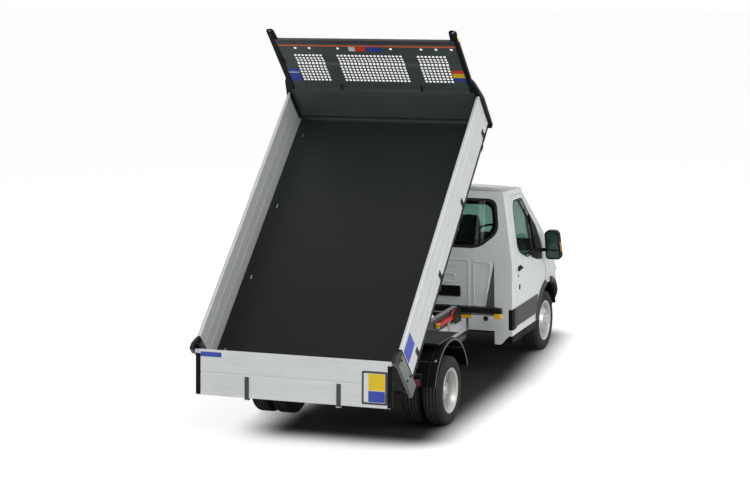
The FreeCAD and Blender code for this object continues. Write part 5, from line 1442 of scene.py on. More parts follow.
class TRUCK_OT_rear_lamps(bpy.types.Operator):
    """Rear lamp units on their bar, with blank reflectors"""
    bl_idname = "truck.rear_lamps"
    bl_label = "Rear lamps"

    def execute(self, context):
        shell = slab((0.7, 0.935), (0.602, 0.64), (0.525, 0.61), 0.007, 3)
        rim = slab((0.702, 0.933), (0.638, 0.65), (0.527, 0.608), 0.004)
        cut_away(rim, slab((0.708, 0.927), (0.636, 0.7), (0.533, 0.602), 0.002))
        bar = flat([(0.602, 0.606), (0.602, 0.647), (0.638, 0.647), (0.638, 0.642), (0.608, 0.642),
            (0.608, 0.606)], (0.47, 0.944), "YZ", bevel=0.0012)
        bracket = flat([(0.4705, 0.53), (0.4705, 0.647), (0.545, 0.647), (0.5, 0.56), (0.5, 0.53)],
            (0.604, 0.609), bevel=0.001)
        stand_in("rear_lamps", "rear", "black_satin", mirrored(shell, rim, bar, bracket),
            slot="black_plastic")
        for name, x in (("red", (0.78, 0.925)), ("amber", (0.738, 0.778)), ("clear", (0.709, 0.736))):
            lens = slab(x, (0.64, 0.6555), (0.534, 0.601), 0.005, 3)
            ribs = [slab((x[0] + 0.004, x[1] - 0.004), (0.655, 0.6565), (z, z + 0.004), 0.0007, 1)
                for z in (0.545, 0.56, 0.575, 0.59)]
            settle("rear_lens_" + name, "rear", "lens_" + name, mirrored(lens, *ribs), slot="lamp_red")
        return {"FINISHED"}


class TRUCK_OT_chassis(bpy.types.Operator):
    """Rails, cross members and the subframe that the bed rests on"""
    bl_idname = "truck.chassis"
    bl_label = "Chassis"

    def execute(self, context):
        dress("chassis_rails", "chassis_paint", 0.003)
        dress("cross_members", "black_satin", 0.002)
        dress("subframe_rails", "dark_frame", 0.004, slot="galvanised")
        strip = slab((0.402, 0.4595), (-1.87, 0.9), (0.7995, 0.8035), 0.0015, 1)
        settle("subframe_caps", "rear", "grey_frame", mirrored(strip))
        dress("subframe_beams", "black_satin", 0.004)
        prop = softened("safety_prop", 0.004)
        bar_middle, slimmer = -0.49, 0.7
        for vertex in prop.data.vertices:
            if vertex.co.y > REAR_WHEEL.y - 1.6:
                vertex.co.x = bar_middle + (vertex.co.x - bar_middle) * slimmer
        stand_in("safety_prop", "here", "red_paint", prop, body="safety_prop")
        bolts = []
        for y in (-3.55, -2.6, -1.72, -1.5, -0.62, -0.48, 0.3, 0.82, 0.96):
            for z in (0.515, 0.615):
                bolts.append(hex_bolt((0.4698, y, z), (1, 0, 0), 0.01))
        settle("rail_bolts", "rear", "bright_steel", mirrored(*bolts))
        plates = []
        for y in (-1.55, -0.7, 0.1, 0.72):
            plates.append(slab((0.4705, 0.4765), (y - 0.045, y + 0.045), (0.56, 0.725), 0.002))
            plates += [hex_bolt((0.4765, y + dy, 0.695), (1, 0, 0), 0.009) for dy in (-0.024, 0.024)]
        settle("subframe_plates", "rear", "grey_frame", mirrored(*plates))
        self.beam_ends()
        return {"FINISHED"}

    def beam_ends(self):
        sleeve = lathe([(0.872, 0), (0.872, 0.034), (0.876, 0.0365), (0.947, 0.0365), (0.9518, 0.032),
            (0.9518, 0.014), (0.948, 0.012), (0.948, 0)], (0, -1.912, 0.712), "X", steps=48, closed=False)
        cheek = flat(filleted([(0.88, 0.68), (0.93, 0.68), (0.948, 0.7), (0.93, 0.736), (0.88, 0.736)], 0.012,
            3), (-1.952, -1.872), bevel=0.006)
        settle("beam_sleeves", "rear", "yellow_paint", mirrored(sleeve, cheek))
        knob = lathe([(0.74, 0), (0.74, 0.014), (0.748, 0.014), (0.752, 0.026), (0.762, 0.031),
            (0.784, 0.031), (0.796, 0.022), (0.799, 0)], (0.923, -1.91, 0), "Z", steps=32, closed=False)
        strap = flat([(0.86, 0.742), (0.86, 0.748), (0.93, 0.748), (0.93, 0.742)], (-1.925, -1.895),
            bevel=0.001)
        settle("beam_knobs", "rear", "gloss_black", mirrored(knob, strap))
        lobe = flat([(-1.6, 0.755), (-1.64, 0.79), (-1.69, 0.803), (-1.74, 0.79), (-1.8, 0.755)],
            (-0.505, -0.475), "YZ", bevel=0.004)
        settle("prop_lobe", "rear", "red_paint", lobe, body="safety_prop")
        strip = slab((0.475, 0.874), (-1.946, -1.938), (0.7, 0.7375), 0.002)
        settle("beam_strips", "rear", "grey_frame", mirrored(strip))
        toe = slab((-0.5105, -0.4695), (-1.17, -1.1225), (0.7085, 0.7615), 0.006)
        settle("prop_yellow_toe", "rear", "yellow_paint", toe, body="safety_prop")
        tube = lathe([(-0.61, 0), (-0.61, 0.018), (-0.606, 0.0205), (-0.482, 0.0205), (-0.478, 0.018),
            (-0.478, 0)], (0, -1.9, 0.69), "X", steps=32, closed=False)
        ears = [slab((-0.486, -0.48), (-1.925, -1.875), (0.672, 0.742), 0.002),
            flat(filleted([(-1.815, 0.655), (-1.6, 0.655), (-1.6, 0.785), (-1.65, 0.812), (-1.815, 0.812)],
            0.012), (-0.5225, -0.5165), "YZ", bevel=0.0015)]
        settle("beam_roller", "rear", "yellow_paint", tube)
        settle("roller_ears", "rear", "black_satin", *ears)


class TRUCK_OT_axles(bpy.types.Operator):
    """Rear axle, cambered springs, dampers, shafts and the front suspension"""
    bl_idname = "truck.axles"
    bl_label = "Axles"

    def execute(self, context):
        dress("rear_axle", "cast_iron", 0.008, 3)
        bolts = [hex_bolt((0.1052, y, z), (1, 0, 0), 0.008, 0.006)
            for z, y in arc((REAR_WHEEL.z, 0), 0.138, 0, 324, 9)]
        settle("axle_bolts", "rear", "bright_steel", *bolts)
        self.springs()
        dress("prop_shaft", "black_satin", 0.004)
        joints = [lathe([(y, 0.0385), (y + 0.006, 0.047), (y + 0.034, 0.047), (y + 0.04, 0.0385)],
            (0, 0, REAR_WHEEL.z + 0.015), "Y", steps=36) for y in (-2.856, -1.58, -0.3)]
        settle("shaft_collars", "rear", "cast_iron", *joints)
        dress("front_subframe", "black_satin", 0.008)
        for word, side in SIDES:
            node = word + "_knuckle"
            dress(node, "cast_iron", 0.004, body=node)
            coil = [(side * 0.73 + 0.052 * math.cos(a * math.pi / 6),
                FRONT_WHEEL.y + 0.052 * math.sin(a * math.pi / 6), 0.56 + a * 0.0029) for a in range(61)]
            settle(word + "_coil_spring", "here", "black_satin", pipe(coil, 0.007), body=node)
        return {"FINISHED"}

    def springs(self):
        """Three cambered leaves with rolled eyes, shackles and clamps."""
        parts = []
        base = REAR_WHEEL.z + 0.0505
        for half, lift in ((0.64, 0), (0.46, 0.0135), (0.28, 0.027)):
            top = [(y / 10 * half, base + 0.052 * (y / 10 * half / 0.64) ** 2 + lift) for y in range(-10, 11)]
            outline = top + [(y, z + 0.012) for y, z in reversed(top)]
            parts.append(flat(outline, (0.492, 0.558), "YZ", bevel=0.002, angle=50))
        for y in (-0.615, 0.615):
            parts.append(lathe([(0.492, 0.013), (0.492, 0.024), (0.558, 0.024), (0.558, 0.013)],
                (0, y, 0.465), "X", steps=28))
            for x in (0.484, 0.559):
                parts.append(flat([(y - 0.024, 0.44), (y + 0.024, 0.44), (y + 0.02, 0.548),
                    (y - 0.02, 0.548)], (x, x + 0.0065), "YZ", bevel=0.002))
            parts.append(slab((0.4705, 0.558), (y - 0.022, y + 0.022), (0.515, 0.5495), 0.004))
            parts.append(hex_bolt((0.5655, y, 0.465), (1, 0, 0), 0.011, 0.008))
        for y in (-0.05, 0.05):
            for x in (0.486, 0.564):
                parts.append(pipe([(x, y, 0.33), (x, y, 0.455)], 0.006))
            parts.append(pipe([(0.486, y, 0.45), (0.525, y, 0.456), (0.564, y, 0.45)], 0.006))
        parts.append(slab((0.48, 0.57), (-0.07, 0.07), (0.438, 0.446), 0.003))
        stand_in("leaf_springs", "rear", "cast_iron", mirrored(*parts), slot="bare_steel")
        damper = lathe([(0, 0), (0, 0.018), (0.16, 0.018), (0.162, 0.026), (0.3, 0.026), (0.304, 0)],
            (0.43, -0.11, 0.25), "Z", steps=28, closed=False)
        settle("dampers", "rear", "black_satin", mirrored(damper))


class TRUCK_OT_engine_bay(bpy.types.Operator):
    """Engine mass, exhaust, fuel tank and the hydraulic pack"""
    bl_idname = "truck.engine_bay"
    bl_label = "Engine, tank and pump"

    def execute(self, context):
        ribs = [softened("engine_block", 0.012)]
        y0 = FRONT_WHEEL.y
        for z in (0.4, 0.48, 0.56, 0.64):
            ribs.append(slab((-0.257, 0.257), (y0 - 0.48, y0 + 0.02), (z, z + 0.012), 0.003))
        ribs.append(slab((-0.175, 0.175), (y0 - 0.44, y0 - 0.02), (0.874, 0.905), 0.012, 3))
        ribs += [slab((x, x + 0.03), (y0 - 0.42, y0 - 0.04), (0.9, 0.912), 0.004)
            for x in (-0.14, -0.07, 0, 0.07)]
        stand_in("engine_block", "here", "alloy_casting", *ribs)
        pipe_parts = [softened("exhaust_pipe", 0.006, 3)]
        for y in (-1.3, -0.3, 0.2, REAR_WHEEL.y - 2.32, REAR_WHEEL.y - 1.73):
            pipe_parts.append(lathe([(y, 0.0285), (y, 0.034), (y + 0.02, 0.034), (y + 0.02, 0.0285)],
                (-0.355, 0, 0.415), "Y", steps=28))
        stand_in("exhaust_pipe", "here", "bare_steel", *pipe_parts)
        tank = softened("fuel_tank", 0.018, 3)
        stand_in("fuel_tank", "here", "black_grain", tank)
        low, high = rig.box("fuel_tank")
        straps = []
        for y in (low.y + 0.16, high.y - 0.16):
            straps.append(flat([(0.472, 0.3675), (0.802, 0.3675), (0.843, 0.4195), (0.843, 0.6005),
                (0.802, 0.6475), (0.472, 0.6475), (0.472, 0.6452), (0.8, 0.6452), (0.8402, 0.6),
                (0.8402, 0.42), (0.8, 0.3702), (0.472, 0.3702)], (y - 0.018, y + 0.018), bevel=0))
        settle("tank_straps", "here", "bright_steel", *straps)
        self.pump()
        return {"FINISHED"}

    def pump(self):
        low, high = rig.box("hydraulic_pack")
        y0 = (low.y + high.y) / 2
        shelf = slab((-0.4638, 0.4638), (low.y, high.y), (0.5052, 0.5125), 0.002)
        tank = slab((-0.15, 0.02), (low.y + 0.01, high.y - 0.01), (0.5125, 0.76), 0.018, 3)
        motor = lathe([(0.55, 0), (0.55, 0.055), (0.56, 0.06), (0.7, 0.06), (0.712, 0.052), (0.712, 0)],
            (0.085, y0 - 0.03, 0), "Z", steps=40, closed=False)
        foot = slab((0.018, 0.148), (y0 - 0.1, y0 + 0.06), (0.5125, 0.556), 0.005)
        valve = slab((0.03, 0.11), (y0 + 0.05, y0 + 0.125), (0.5125, 0.64), 0.005)
        cap = lathe([(0.757, 0), (0.757, 0.024), (0.774, 0.024), (0.779, 0.02), (0.779, 0)],
            (-0.065, y0 - 0.07, 0), "Z", steps=32, closed=False)
        solenoids = [lathe([(0.636, 0), (0.636, 0.013), (0.68, 0.013), (0.682, 0)], (x, y0 + 0.088, 0), "Z",
            steps=20, closed=False) for x in (0.05, 0.09)]
        stand_in("hydraulic_pack", "here", "black_satin", shelf, tank, motor, foot, valve, cap, *solenoids)
        hose = pipe([(0.05, y0 + 0.12, 0.57), (0.08, y0 + 0.22, 0.545), (0.13, y0 + 0.4, 0.52),
            (0.15, y0 + 0.75, 0.5125), (0.15, y0 + 1.02, 0.505), (0.14, RAM_FOOT.y, 0.5)], 0.011)
        settle("hydraulic_hose", "here", "seal_rubber", hose)


# ---------------------------------------------------------------- cab
SCREEN_TIP = math.atan2(0.63, 0.7)
WAIST = 1.25
LEAN = 0.095 / 0.78
WINDOW = [(1.104, 1.4), (1.09, 1.8), (1.03, 1.89), (0.655, 1.89), (0.335, 1.53), (0.305, 1.245), (0.8, 1.232),
    (1.06, 1.33)]
REAR_WINDOW = [(-0.845, 1.59), (-0.62, 1.41), (0.62, 1.41), (0.845, 1.59), (0.822, 1.94), (-0.822, 1.94)]


def hollow_frame(outer, inner, span, bevel=0.0015):
    """A flat ring between two outlines."""
    return flat(outer, span, holes=[inner], bevel=bevel)


def shrunk(points, gap):
    """The outline moved inwards all round, for convex outlines in either sense."""
    count = len(points)
    area = sum((points[i][0] * points[(i + 1) % count][1] - points[(i + 1) % count][0] * points[i][1]
        for i in range(count)))
    sign = 1 if area > 0 else -1
    moved = []
    for i in range(count):
        before, here, after = (Vector((*points[(i + k) % count], 0)) for k in (-1, 0, 1))
        one = (here - before).normalized()
        two = (after - here).normalized()
        normal = Vector((-(one.y + two.y), one.x + two.x, 0)) * sign
        normal.normalize()
        slant = max(0.35, normal.dot(Vector((-one.y, one.x, 0)) * sign))
        place = here + normal * gap / slant
        moved.append((place.x, place.y))
    return moved


def filleted(points, radius, count=5):
    """The outline with its corners rounded."""
    made = []
    total = len(points)
    for i in range(total):
        before, here, after = (Vector(points[(i + k) % total]) for k in (-1, 0, 1))
        one = before - here
        two = after - here
        reach = min(radius, one.length * 0.45, two.length * 0.45)
        start = here + one.normalized() * reach
        end = here + two.normalized() * reach
        for step in range(count + 1):
            t = step / count
            made.append(tuple(start * (1 - t) ** 2 + here * 2 * t * (1 - t) + end * t * t))
    return made


def leaned(piece, side):
    """Lean everything above the waist in with the cab side."""
    for vertex in piece.data.vertices:
        vertex.co.x -= side * max(0, vertex.co.z - WAIST) * LEAN
    return piece


def narrowed(piece):
    """Cut long faces across, then draw the nose in towards its front corners."""
    sliced(piece, "Y", *[FRONT_WHEEL.y - 0.26 - 0.085 * i for i in range(8)])
    for vertex in piece.data.vertices:
        ahead, up = FRONT_WHEEL.y - vertex.co.y, vertex.co.z
        corner = 0.06 * portion(ahead, 0.46, 0.27)
        upper = 0.055 * portion(ahead, 0.22, 0.3) * portion(up, 0.8, 0.3)
        lower = 0.03 * portion(ahead, 0.26, 0.22)
        tucked = 0.11 * portion(0.66, up, 0.26) * portion(ahead, 0.36, 0.1)
        vertex.co.x *= 1 - corner - upper - lower - tucked
    return piece


class TRUCK_OT_cab_shell(bpy.types.Operator):
    """Cab sides, roof, floor and the pressed back panel"""
    bl_idname = "truck.cab_shell"
    bl_label = "Cab shell"

    def execute(self, context):
        sides = softened("cab_sides", 0.007, 3, 20)
        for side in (1, -1):
            notch = flat(flip([(0.872, 0.3), (0.872, 0.348), (0.935, 0.415), (0.962, 0.4435), (1.02, 0.4435),
                (1.02, 0.3)], side), (1.265, 1.4), bevel=0)
            notch.data.transform(FRONT)
            cut_away(sides, notch)
        stand_in("cab_sides", "here", "cab_paint", sides, smooth=40)
        stand_in("cab_roof", "here", "roof_paint", self.roof(), smooth=60)
        dress("cab_floor", "seal_rubber", 0.004, shape=narrowed, slot="cab_paint")
        dress("cab_back", "cab_paint", 0.006, 3)
        face = 1.3741
        self.skin(face)
        self.pressings(face)
        seal = context.scene.truck_sizes.seal
        frit = hollow_frame(filleted(shrunk(REAR_WINDOW, 0.0008), 0.09, 7),
            filleted(shrunk(REAR_WINDOW, 0.062), 0.085, 7), (1.3372, 1.3378), 0)
        settle("rear_window_band", "front", "gloss_black", frit, slot="glass")
        rubber_ring = hollow_frame(filleted(shrunk(REAR_WINDOW, -0.012), 0.1, 7),
            filleted(shrunk(REAR_WINDOW, seal + 0.006), 0.09, 7), (face - 0.014, face + 0.0015), 0.003)
        settle("rear_window_seal", "front", "seal_rubber", rubber_ring)
        dress("cab_glass", "glass_green", 0.0004, 1)
        edge = [(-0.925, 0), (0.925, 0), (0.838, 0.94), (-0.838, 0.94)]
        screen = hollow_frame(edge, filleted(shrunk(edge, 0.055), 0.05), (-0.0005, 0.0005), 0)
        screen.data.transform(Matrix.Translation((0, -0.0762, 1.2505)) @ Matrix.Rotation(-SCREEN_TIP, 4, "X"))
        settle("screen_band", "front", "gloss_black", screen, slot="glass")
        return {"FINISHED"}

    def roof(self):
        """A crowned panel with a lip over each gutter and two shallow ribs."""
        rows = [(0.556, 1.951), (0.6, 1.994), (0.64, 2.018), (0.7, 2.038), (0.78, 2.053), (0.9, 2.066),
            (1.075, 2.078), (1.25, 2.083), (1.32, 2.081), (1.35, 2.074), (1.367, 2.06), (1.3735, 2.034)]
        across = [0, 0.2, 0.4, 0.56, 0.7, 0.79, 0.845, 0.878, 0.896, 0.9045]
        drops = [0, 0.0015, 0.005, 0.009, 0.014, 0.02, 0.028, 0.04, 0.058, 0.08]
        eaves, gutter = rows[0][1], 2.0305
        verts = []
        wide = [-x for x in reversed(across[1:])] + across
        fall = list(reversed(drops[1:])) + drops
        for y, z in rows:
            reach = 0.93 + 0.07 * portion(z, eaves, 0.079)
            for x, drop in zip(wide, fall):
                rib = 0.004 * max(0, 1 - abs(abs(x) - 0.3) / 0.04) * (0.75 < y < 1.28)
                verts.append((x * reach, y, max(min(z, gutter), z - drop * portion(z, eaves, 0.15)) + rib))
        n = len(wide)
        faces = [(i, i + 1, i + n + 1, i + n) for row in range(len(rows) - 1)
            for i in range(row * n, row * n + n - 1)]
        data = bpy.data.meshes.new("roof")
        data.from_pydata(verts, [], faces)
        data.transform(FRONT)
        piece = apply_modifier(linked(data), "SOLIDIFY", thickness=0.012, offset=-1)
        apply_modifier(piece, "SUBSURF", levels=2, render_levels=2)
        return cleaned(piece)

    def skin(self, face):
        """The outer sheet of the back, open along a wedge beside each column, with a plate of painted shade in each
        wedge.
        """
        right = [(0.5, 0.6675), (0.5, 0.4925), (0.806, 0.4925), (0.806, 0.345), (0.872, 0.345),
            (0.872, 0.3505), (0.9285, 0.4085), (0.9285, 1.25), (0.8345, 2.029)]
        outline = right + [(-x, z) for x, z in reversed(right)]
        wedge = [(0.685, 0.74), (0.798, 0.74), (0.798, 1.27)]
        sheet = flat(outline, (1.3495, face), bevel=0.006, segments=3,
            holes=[filleted(shrunk(REAR_WINDOW, -0.006), 0.1, 7), wedge, flip(wedge, -1)])
        settle("cab_back_skin", "front", "cab_paint", sheet, smooth=40)
        # Painted shade: a dark grey plate in each wedge recess stands for the shade there; the recess itself is cab
        # paint.
        lining = flat([(0.68, 0.735), (0.803, 0.735), (0.803, 1.28)], (1.3499, 1.353), bevel=0)
        settle("column_linings", "front", "edge_grain", mirrored(lining), slot="cab_paint")

    def pressings(self, face):
        """Raised ribs, vent, recess, grommet and step of the back panel."""
        ribs = []
        for x0, x1, z0, z1 in (
            (-0.515, 0.515, 0.7, 1.275),
            (-0.36, -0.12, 1.01, 1.115),
            (0.12, 0.36, 1.01, 1.115),
        ):
            outer = filleted(box_outline(x0, x1, z0, z1), 0.05)
            ribs.append(hollow_frame(outer, shrunk(outer, 0.016), (face - 0.001, face + 0.006), 0.003))
        for side in (1, -1):
            outer = filleted(flip([(0.56, 0.76), (0.7, 0.76), (0.77, 1.245), (0.56, 1.265)], side), 0.05)
            ribs.append(hollow_frame(outer, shrunk(outer, 0.014), (face - 0.001, face + 0.006), 0.003))
        for z in (1.195, 0.745):
            ribs.append(flat(round_box((-0.4, 0.4), (z, z + 0.018), 0.008), (face - 0.001, face + 0.006),
                bevel=0.003))
        settle("back_pressings", "front", "cab_paint", *ribs, smooth=50)
        frame_of_vent = hollow_frame(round_box((-0.412, 0.412), (0.858, 0.976), 0.014),
            round_box((-0.398, 0.398), (0.872, 0.962), 0.01), (face, face + 0.01), 0.002)
        slats = [slab((-0.4, 0.4), (face + 0.001, face + 0.007), (z, z + 0.006), 0.001, 1)
            for z in [0.876 + 0.0122 * i for i in range(7)]]
        back = slab((-0.402, 0.402), (face, face + 0.0015), (0.868, 0.966), 0.0005, 1)
        settle("cab_vent", "front", "black_grain", frame_of_vent, back, *slats)
        plugs = []
        for x, z, r in (
            (-0.7, 0.626, 0.028),
            (0.7, 0.626, 0.028),
            (-0.595, 0.675, 0.011),
            (0.595, 0.675, 0.011),
        ):
            plugs.append(lathe([(face, 0), (face, r), (face + 0.005, r), (face + 0.008, r * 0.8),
                (face + 0.005, r * 0.6), (face + 0.005, 0)], (x, 0, z), "Y", steps=28, closed=False))
        settle("back_grommets", "front", "seal_rubber", *plugs)


class TRUCK_OT_doors(bpy.types.Operator):
    """Doors with glass, seals, handles, mouldings and mirrors"""
    bl_idname = "truck.doors"
    bl_label = "Doors"

    def execute(self, context):
        for word, side in SIDES:
            door = word + "_door"
            dress(door, "cab_paint", 0.005, 3, 20, body=door, smooth=40)
            dress(word + "_door_glass", "glass_green", 0.0004, 1, body=door)
            self.word, self.side = word, side
            self.frames(context.scene.truck_sizes.seal)
            self.fittings()
            self.mirror()
        return {"FINISHED"}

    def own(self, name, finish, piece, body="_door", **ways):
        """Settle a part that is drawn for this side already."""
        settle(self.word + "_" + name, "front", finish, piece, body=self.word + body if body else "root",
            slot="black_plastic", **ways)

    def put(self, name, finish, *parts, **ways):
        """Settle parts that are drawn for the left side."""
        whole = joined(*parts)
        self.own(name, finish, moved(whole, MIRROR) if self.side < 0 else whole, **ways)

    def ribbon(self, name, finish, outline, span, bevel=0.0015, holes=()):
        """A plate on the outer face of the door, leaned in above the waist."""
        plate = flat(outline, [self.side * x for x in span], "YZ", holes=holes, bevel=0)
        plate = leaned(sliced(plate, "Z", WAIST), self.side)
        self.own(name, finish, rounded(plate, bevel, 2, 60) if bevel else plate)

    def frames(self, seal):
        self.ribbon("window_seal", "seal_rubber", filleted(shrunk(WINDOW, -seal), 0.05), (0.996, 1.0022),
            holes=[filleted(shrunk(WINDOW, 0.004), 0.045)])
        self.ribbon("window_band", "gloss_black", shrunk(filleted(WINDOW, 0.045), 0.002), (0.964, 0.9645), 0,
            holes=[filleted(shrunk(WINDOW, 0.024), 0.04)])
        self.ribbon("window_divider", "seal_rubber", [(0.508, 1.236), (0.532, 1.236), (0.556, 1.76),
            (0.53, 1.728)], (0.968, 0.985), 0.002)
        self.ribbon("mirror_sail", "black_grain", filleted([(0.242, 1.105), (0.455, 1.14), (0.66, 1.205),
            (0.7, 1.262), (0.478, 1.262), (0.462, 1.7), (0.312, 1.53), (0.242, 1.33)], 0.025), (0.978, 1.005),
            0.004)
        self.put("door_lining", "grey_grain", slab((0.9235, 0.929), (0.24, 1.17), (0.62, 1.215), 0.004),
            slab((0.88, 0.926), (0.3, 1.02), (0.66, 0.79), 0.018, 3), slab((0.865, 0.926), (0.46, 0.98),
            (0.985, 1.04), 0.018, 3))

    def fittings(self):
        cup = flat(filleted([(1.02, 1.118), (1.14, 1.118), (1.15, 1.15), (1.135, 1.178), (1.025, 1.178)],
            0.02), (0.9995, 1.0025), "YZ", bevel=0.001)
        handle = slab((1.0065, 1.0215), (1.012, 1.158), (1.134, 1.158), 0.006, 3)
        legs = [slab((1, 1.012), (y, y + 0.022), (1.138, 1.154), 0.003) for y in (1.016, 1.132)]
        lock = lathe([(0.999, 0), (0.999, 0.013), (1.003, 0.013), (1.0045, 0.01), (1.0045, 0)],
            (0, 1.135, 1.07), "X", steps=24, closed=False)
        slot = flat(round_box((1.064, 1.112), (0.912, 0.968), 0.012), (1, 1.0022), "YZ", bevel=0.0008)
        self.put("door_handle", "black_grain", cup, handle, *legs, slot)
        self.put("door_lock", "seal_rubber", lock)
        band = flat(filleted([(0.484, 0.53), (1.209, 0.53), (1.209, 0.735), (0.422, 0.735)], 0.008),
            (0.9985, 1.0095), "YZ", bevel=0.004)
        ridge = flat(filleted([(0.494, 0.551), (1.196, 0.551), (1.196, 0.715), (0.438, 0.715)], 0.012),
            (1.009, 1.0105), "YZ", bevel=0.0012)
        self.put("side_moulding", "grey_grain", band, ridge)
        self.put("quarter_moulding", "grey_grain", flat(filleted(box_outline(1.2225, 1.278, 0.515, 0.735),
            0.004), (0.9985, 1.0095), "YZ", bevel=0.003), body="")
        self.put("moulding_cap", "black_grain",
            flat(filleted([(0.96, 1.3745), (1, 1.3745), (1.0095, 1.365), (1.0095, 1.28), (0.9985, 1.28),
            (0.9985, 1.36), (0.96, 1.3735)], 0.003), (0.511, 0.737), "XY", bevel=0.003), body="")

    def mirror(self):
        """A tall two-part mirror head with its arm, glass and side repeater."""
        head = [(1.06, 1.142), (1.082, 1.114), (1.218, 1.114), (1.2355, 1.146), (1.228, 1.43), (1.196, 1.466),
            (1.098, 1.466), (1.066, 1.43)]
        outline = filleted(head, 0.05)
        shell = flat(outline, (0.2065, 0.2985), bevel=0.022, segments=4)
        cut_away(shell, flat(shrunk(outline, 0.013), (0.288, 0.32), bevel=0))
        arms = [pipe([(1.002, 0.262, z), (1.045, 0.256, z + 0.004), (1.098, 0.25, z + 0.01)], 0.013)
            for z in (1.205, 1.222)]
        foot = slab((1.0002, 1.012), (0.236, 0.284), (1.1905, 1.2345), 0.005)
        divide = slab((1.07, 1.228), (0.2895, 0.2975), (1.212, 1.228), 0.0015, 1)
        self.put("mirror_shell", "black_grain", shell, foot, divide, *arms, replaces=[self.word + "_mirror"])
        low = filleted([(1.076, 1.15), (1.09, 1.13), (1.212, 1.13), (1.222, 1.152), (1.22, 1.214),
            (1.0755, 1.214)], 0.015)
        top = filleted([(1.075, 1.229), (1.2195, 1.229), (1.215, 1.424), (1.188, 1.452), (1.103, 1.452),
            (1.08, 1.424)], 0.02)
        panes = [flat(shape, (0.288, 0.2925), bevel=0.0008) for shape in (low, top)]
        self.put("mirror_glass", "mirror_glass", *panes)
        self.put("mirror_repeater", "lens_amber",
            flat(filleted([(1.216, 1.205), (1.2366, 1.205), (1.2366, 1.315), (1.216, 1.325)], 0.006),
            (0.232, 0.282), bevel=0.003))


class TRUCK_OT_nose(bpy.types.Operator):
    """Wings, bonnet, bumper, grille and headlamps"""
    bl_idname = "truck.nose"
    bl_label = "Nose"

    def execute(self, context):
        dress("front_wings", "cab_paint", 0.009, 3, 20, shape=narrowed, smooth=40)
        lid = narrowed(softened("bonnet", 0.008, 3, 12))
        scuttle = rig.box("cab_floor")[0].y - 0.005
        for vertex in lid.data.vertices:
            vertex.co.y = min(vertex.co.y, scuttle)
        stand_in("bonnet", "here", "cab_paint", lid, body="bonnet", smooth=45)
        dress("front_bumper", "black_grain", 0.014, 3, 15, shape=narrowed, smooth=45)
        dress("front_panel", "deep_black", 0.003, shape=narrowed, slot="black_paint")
        dress("wheel_arches", "black_grain", 0.003)
        section = filleted([(0.89, 0.385), (0.975, 0.352), (0.997, 0.362), (1.001, 0.4445), (0.89, 0.4445)],
            0.02)
        step = flat(section, (0.47, 1.35), bevel=0.008, segments=3)
        stand_in("side_steps", "front", "black_grain", mirrored(step))
        self.arches()
        self.grille()
        self.lamps()
        return {"FINISHED"}

    def arches(self):
        """Flared trims round the front wheel openings, part on the wing and part on the door."""
        section = [(0.999, 0.45), (0.999, 0.51), (1.006, 0.512), (1.018, 0.498), (1.023, 0.48),
            (1.023, 0.464), (1.019, 0.454), (1.01, 0.447), (0.965, 0.4465), (0.965, 0.45)]
        for word, side in SIDES:
            hoop = [(side * a, r) for a, r in section]
            wing = lathe(hoop, (0, 0, FRONT_WHEEL.z), steps=40, start=72, turn=-62.5)
            wing.data.transform(FRONT)
            settle(word + "_wing_trim", "here", "arch_grain", narrowed(wing))
            door = lathe(hoop, (0, 0, FRONT_WHEEL.z), steps=40, start=-13.5, turn=-64)
            settle(word + "_door_trim", "front", "arch_grain", door, body=word + "_door")
        treads = [slab((0.905, 0.99), (y, y + 0.03), (0.4445, 0.4485), 0.0015, 1)
            for y in [0.52 + 0.075 * i for i in range(10)]]
        settle("step_treads", "front", "grey_grain", mirrored(*treads))

    def grille(self):
        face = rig.box("grille")[0].y - FRONT_WHEEL.y
        back = slab((-0.6, 0.6), (-0.83, -0.8005), (0.652, 0.918), 0.003)
        outer = box_outline(-0.634, 0.634, 0.646, 0.924)
        rim = hollow_frame(filleted(outer, 0.05), filleted(shrunk(outer, 0.03), 0.04), (-0.8005, face + 0.03),
            0.006)
        bars = [slab((-0.612, 0.612), (-0.93, -0.905), (z, z + 0.02), 0.005)
            for z in (0.7, 0.752, 0.804, 0.856)]
        slots = [slab((x - 0.004, x + 0.004), (-0.905, -0.88), (0.672, 0.9), 0.0015, 1)
            for x in [-0.55 + 0.05 * i for i in range(23)]]
        stand_in("grille", "front", "black_grain", back, *slots)
        settle("grille_bars", "front", "gloss_black", rim, *bars)
        bent = slab((-0.42, 0.42), (-1.012, -1.004), (0.3, 0.43), 0.01)
        fins = [slab((-0.4, 0.4), (-1.0165, -1.008), (z, z + 0.01), 0.002)
            for z in (0.325, 0.355, 0.385, 0.412)]
        intake = joined(bent, *fins)
        intake.data.transform(Matrix.Translation((0, -0.0055, 0)))
        settle("lower_intake", "front", "deep_black", intake)
        plate = slab((-0.26, 0.26), (-1.0225, -1.018), (0.48, 0.592), 0.002)
        settle("blank_plate", "front", "label_white", plate)

    def lamps(self):
        """Clear outer lenses over reflectors and a projector, kept inside the lamp's own space."""
        shells = narrowed(softened("headlamps", 0.01, 3, 15))
        shells.data.transform(Matrix.Diagonal((0.93, 1, 1, 1)))
        stand_in("headlamps", "here", "headlamp_glass", shells, smooth=50)
        bowls = []
        for side in (1, -1):
            for x, y, r in ((0.69, -0.88, 0.06), (0.8, -0.845, 0.05)):
                bowls.append(lathe([(y - 0.014, r), (y + 0.01, r * 0.86), (y + 0.036, r * 0.45),
                    (y + 0.04, 0), (y + 0.044, 0), (y + 0.044, r), (y - 0.014, r + 0.004)],
                    (side * x, 0, 0.8), "Y", steps=32, closed=False))
        settle("headlamp_bowls", "front", "lamp_chrome", *bowls)


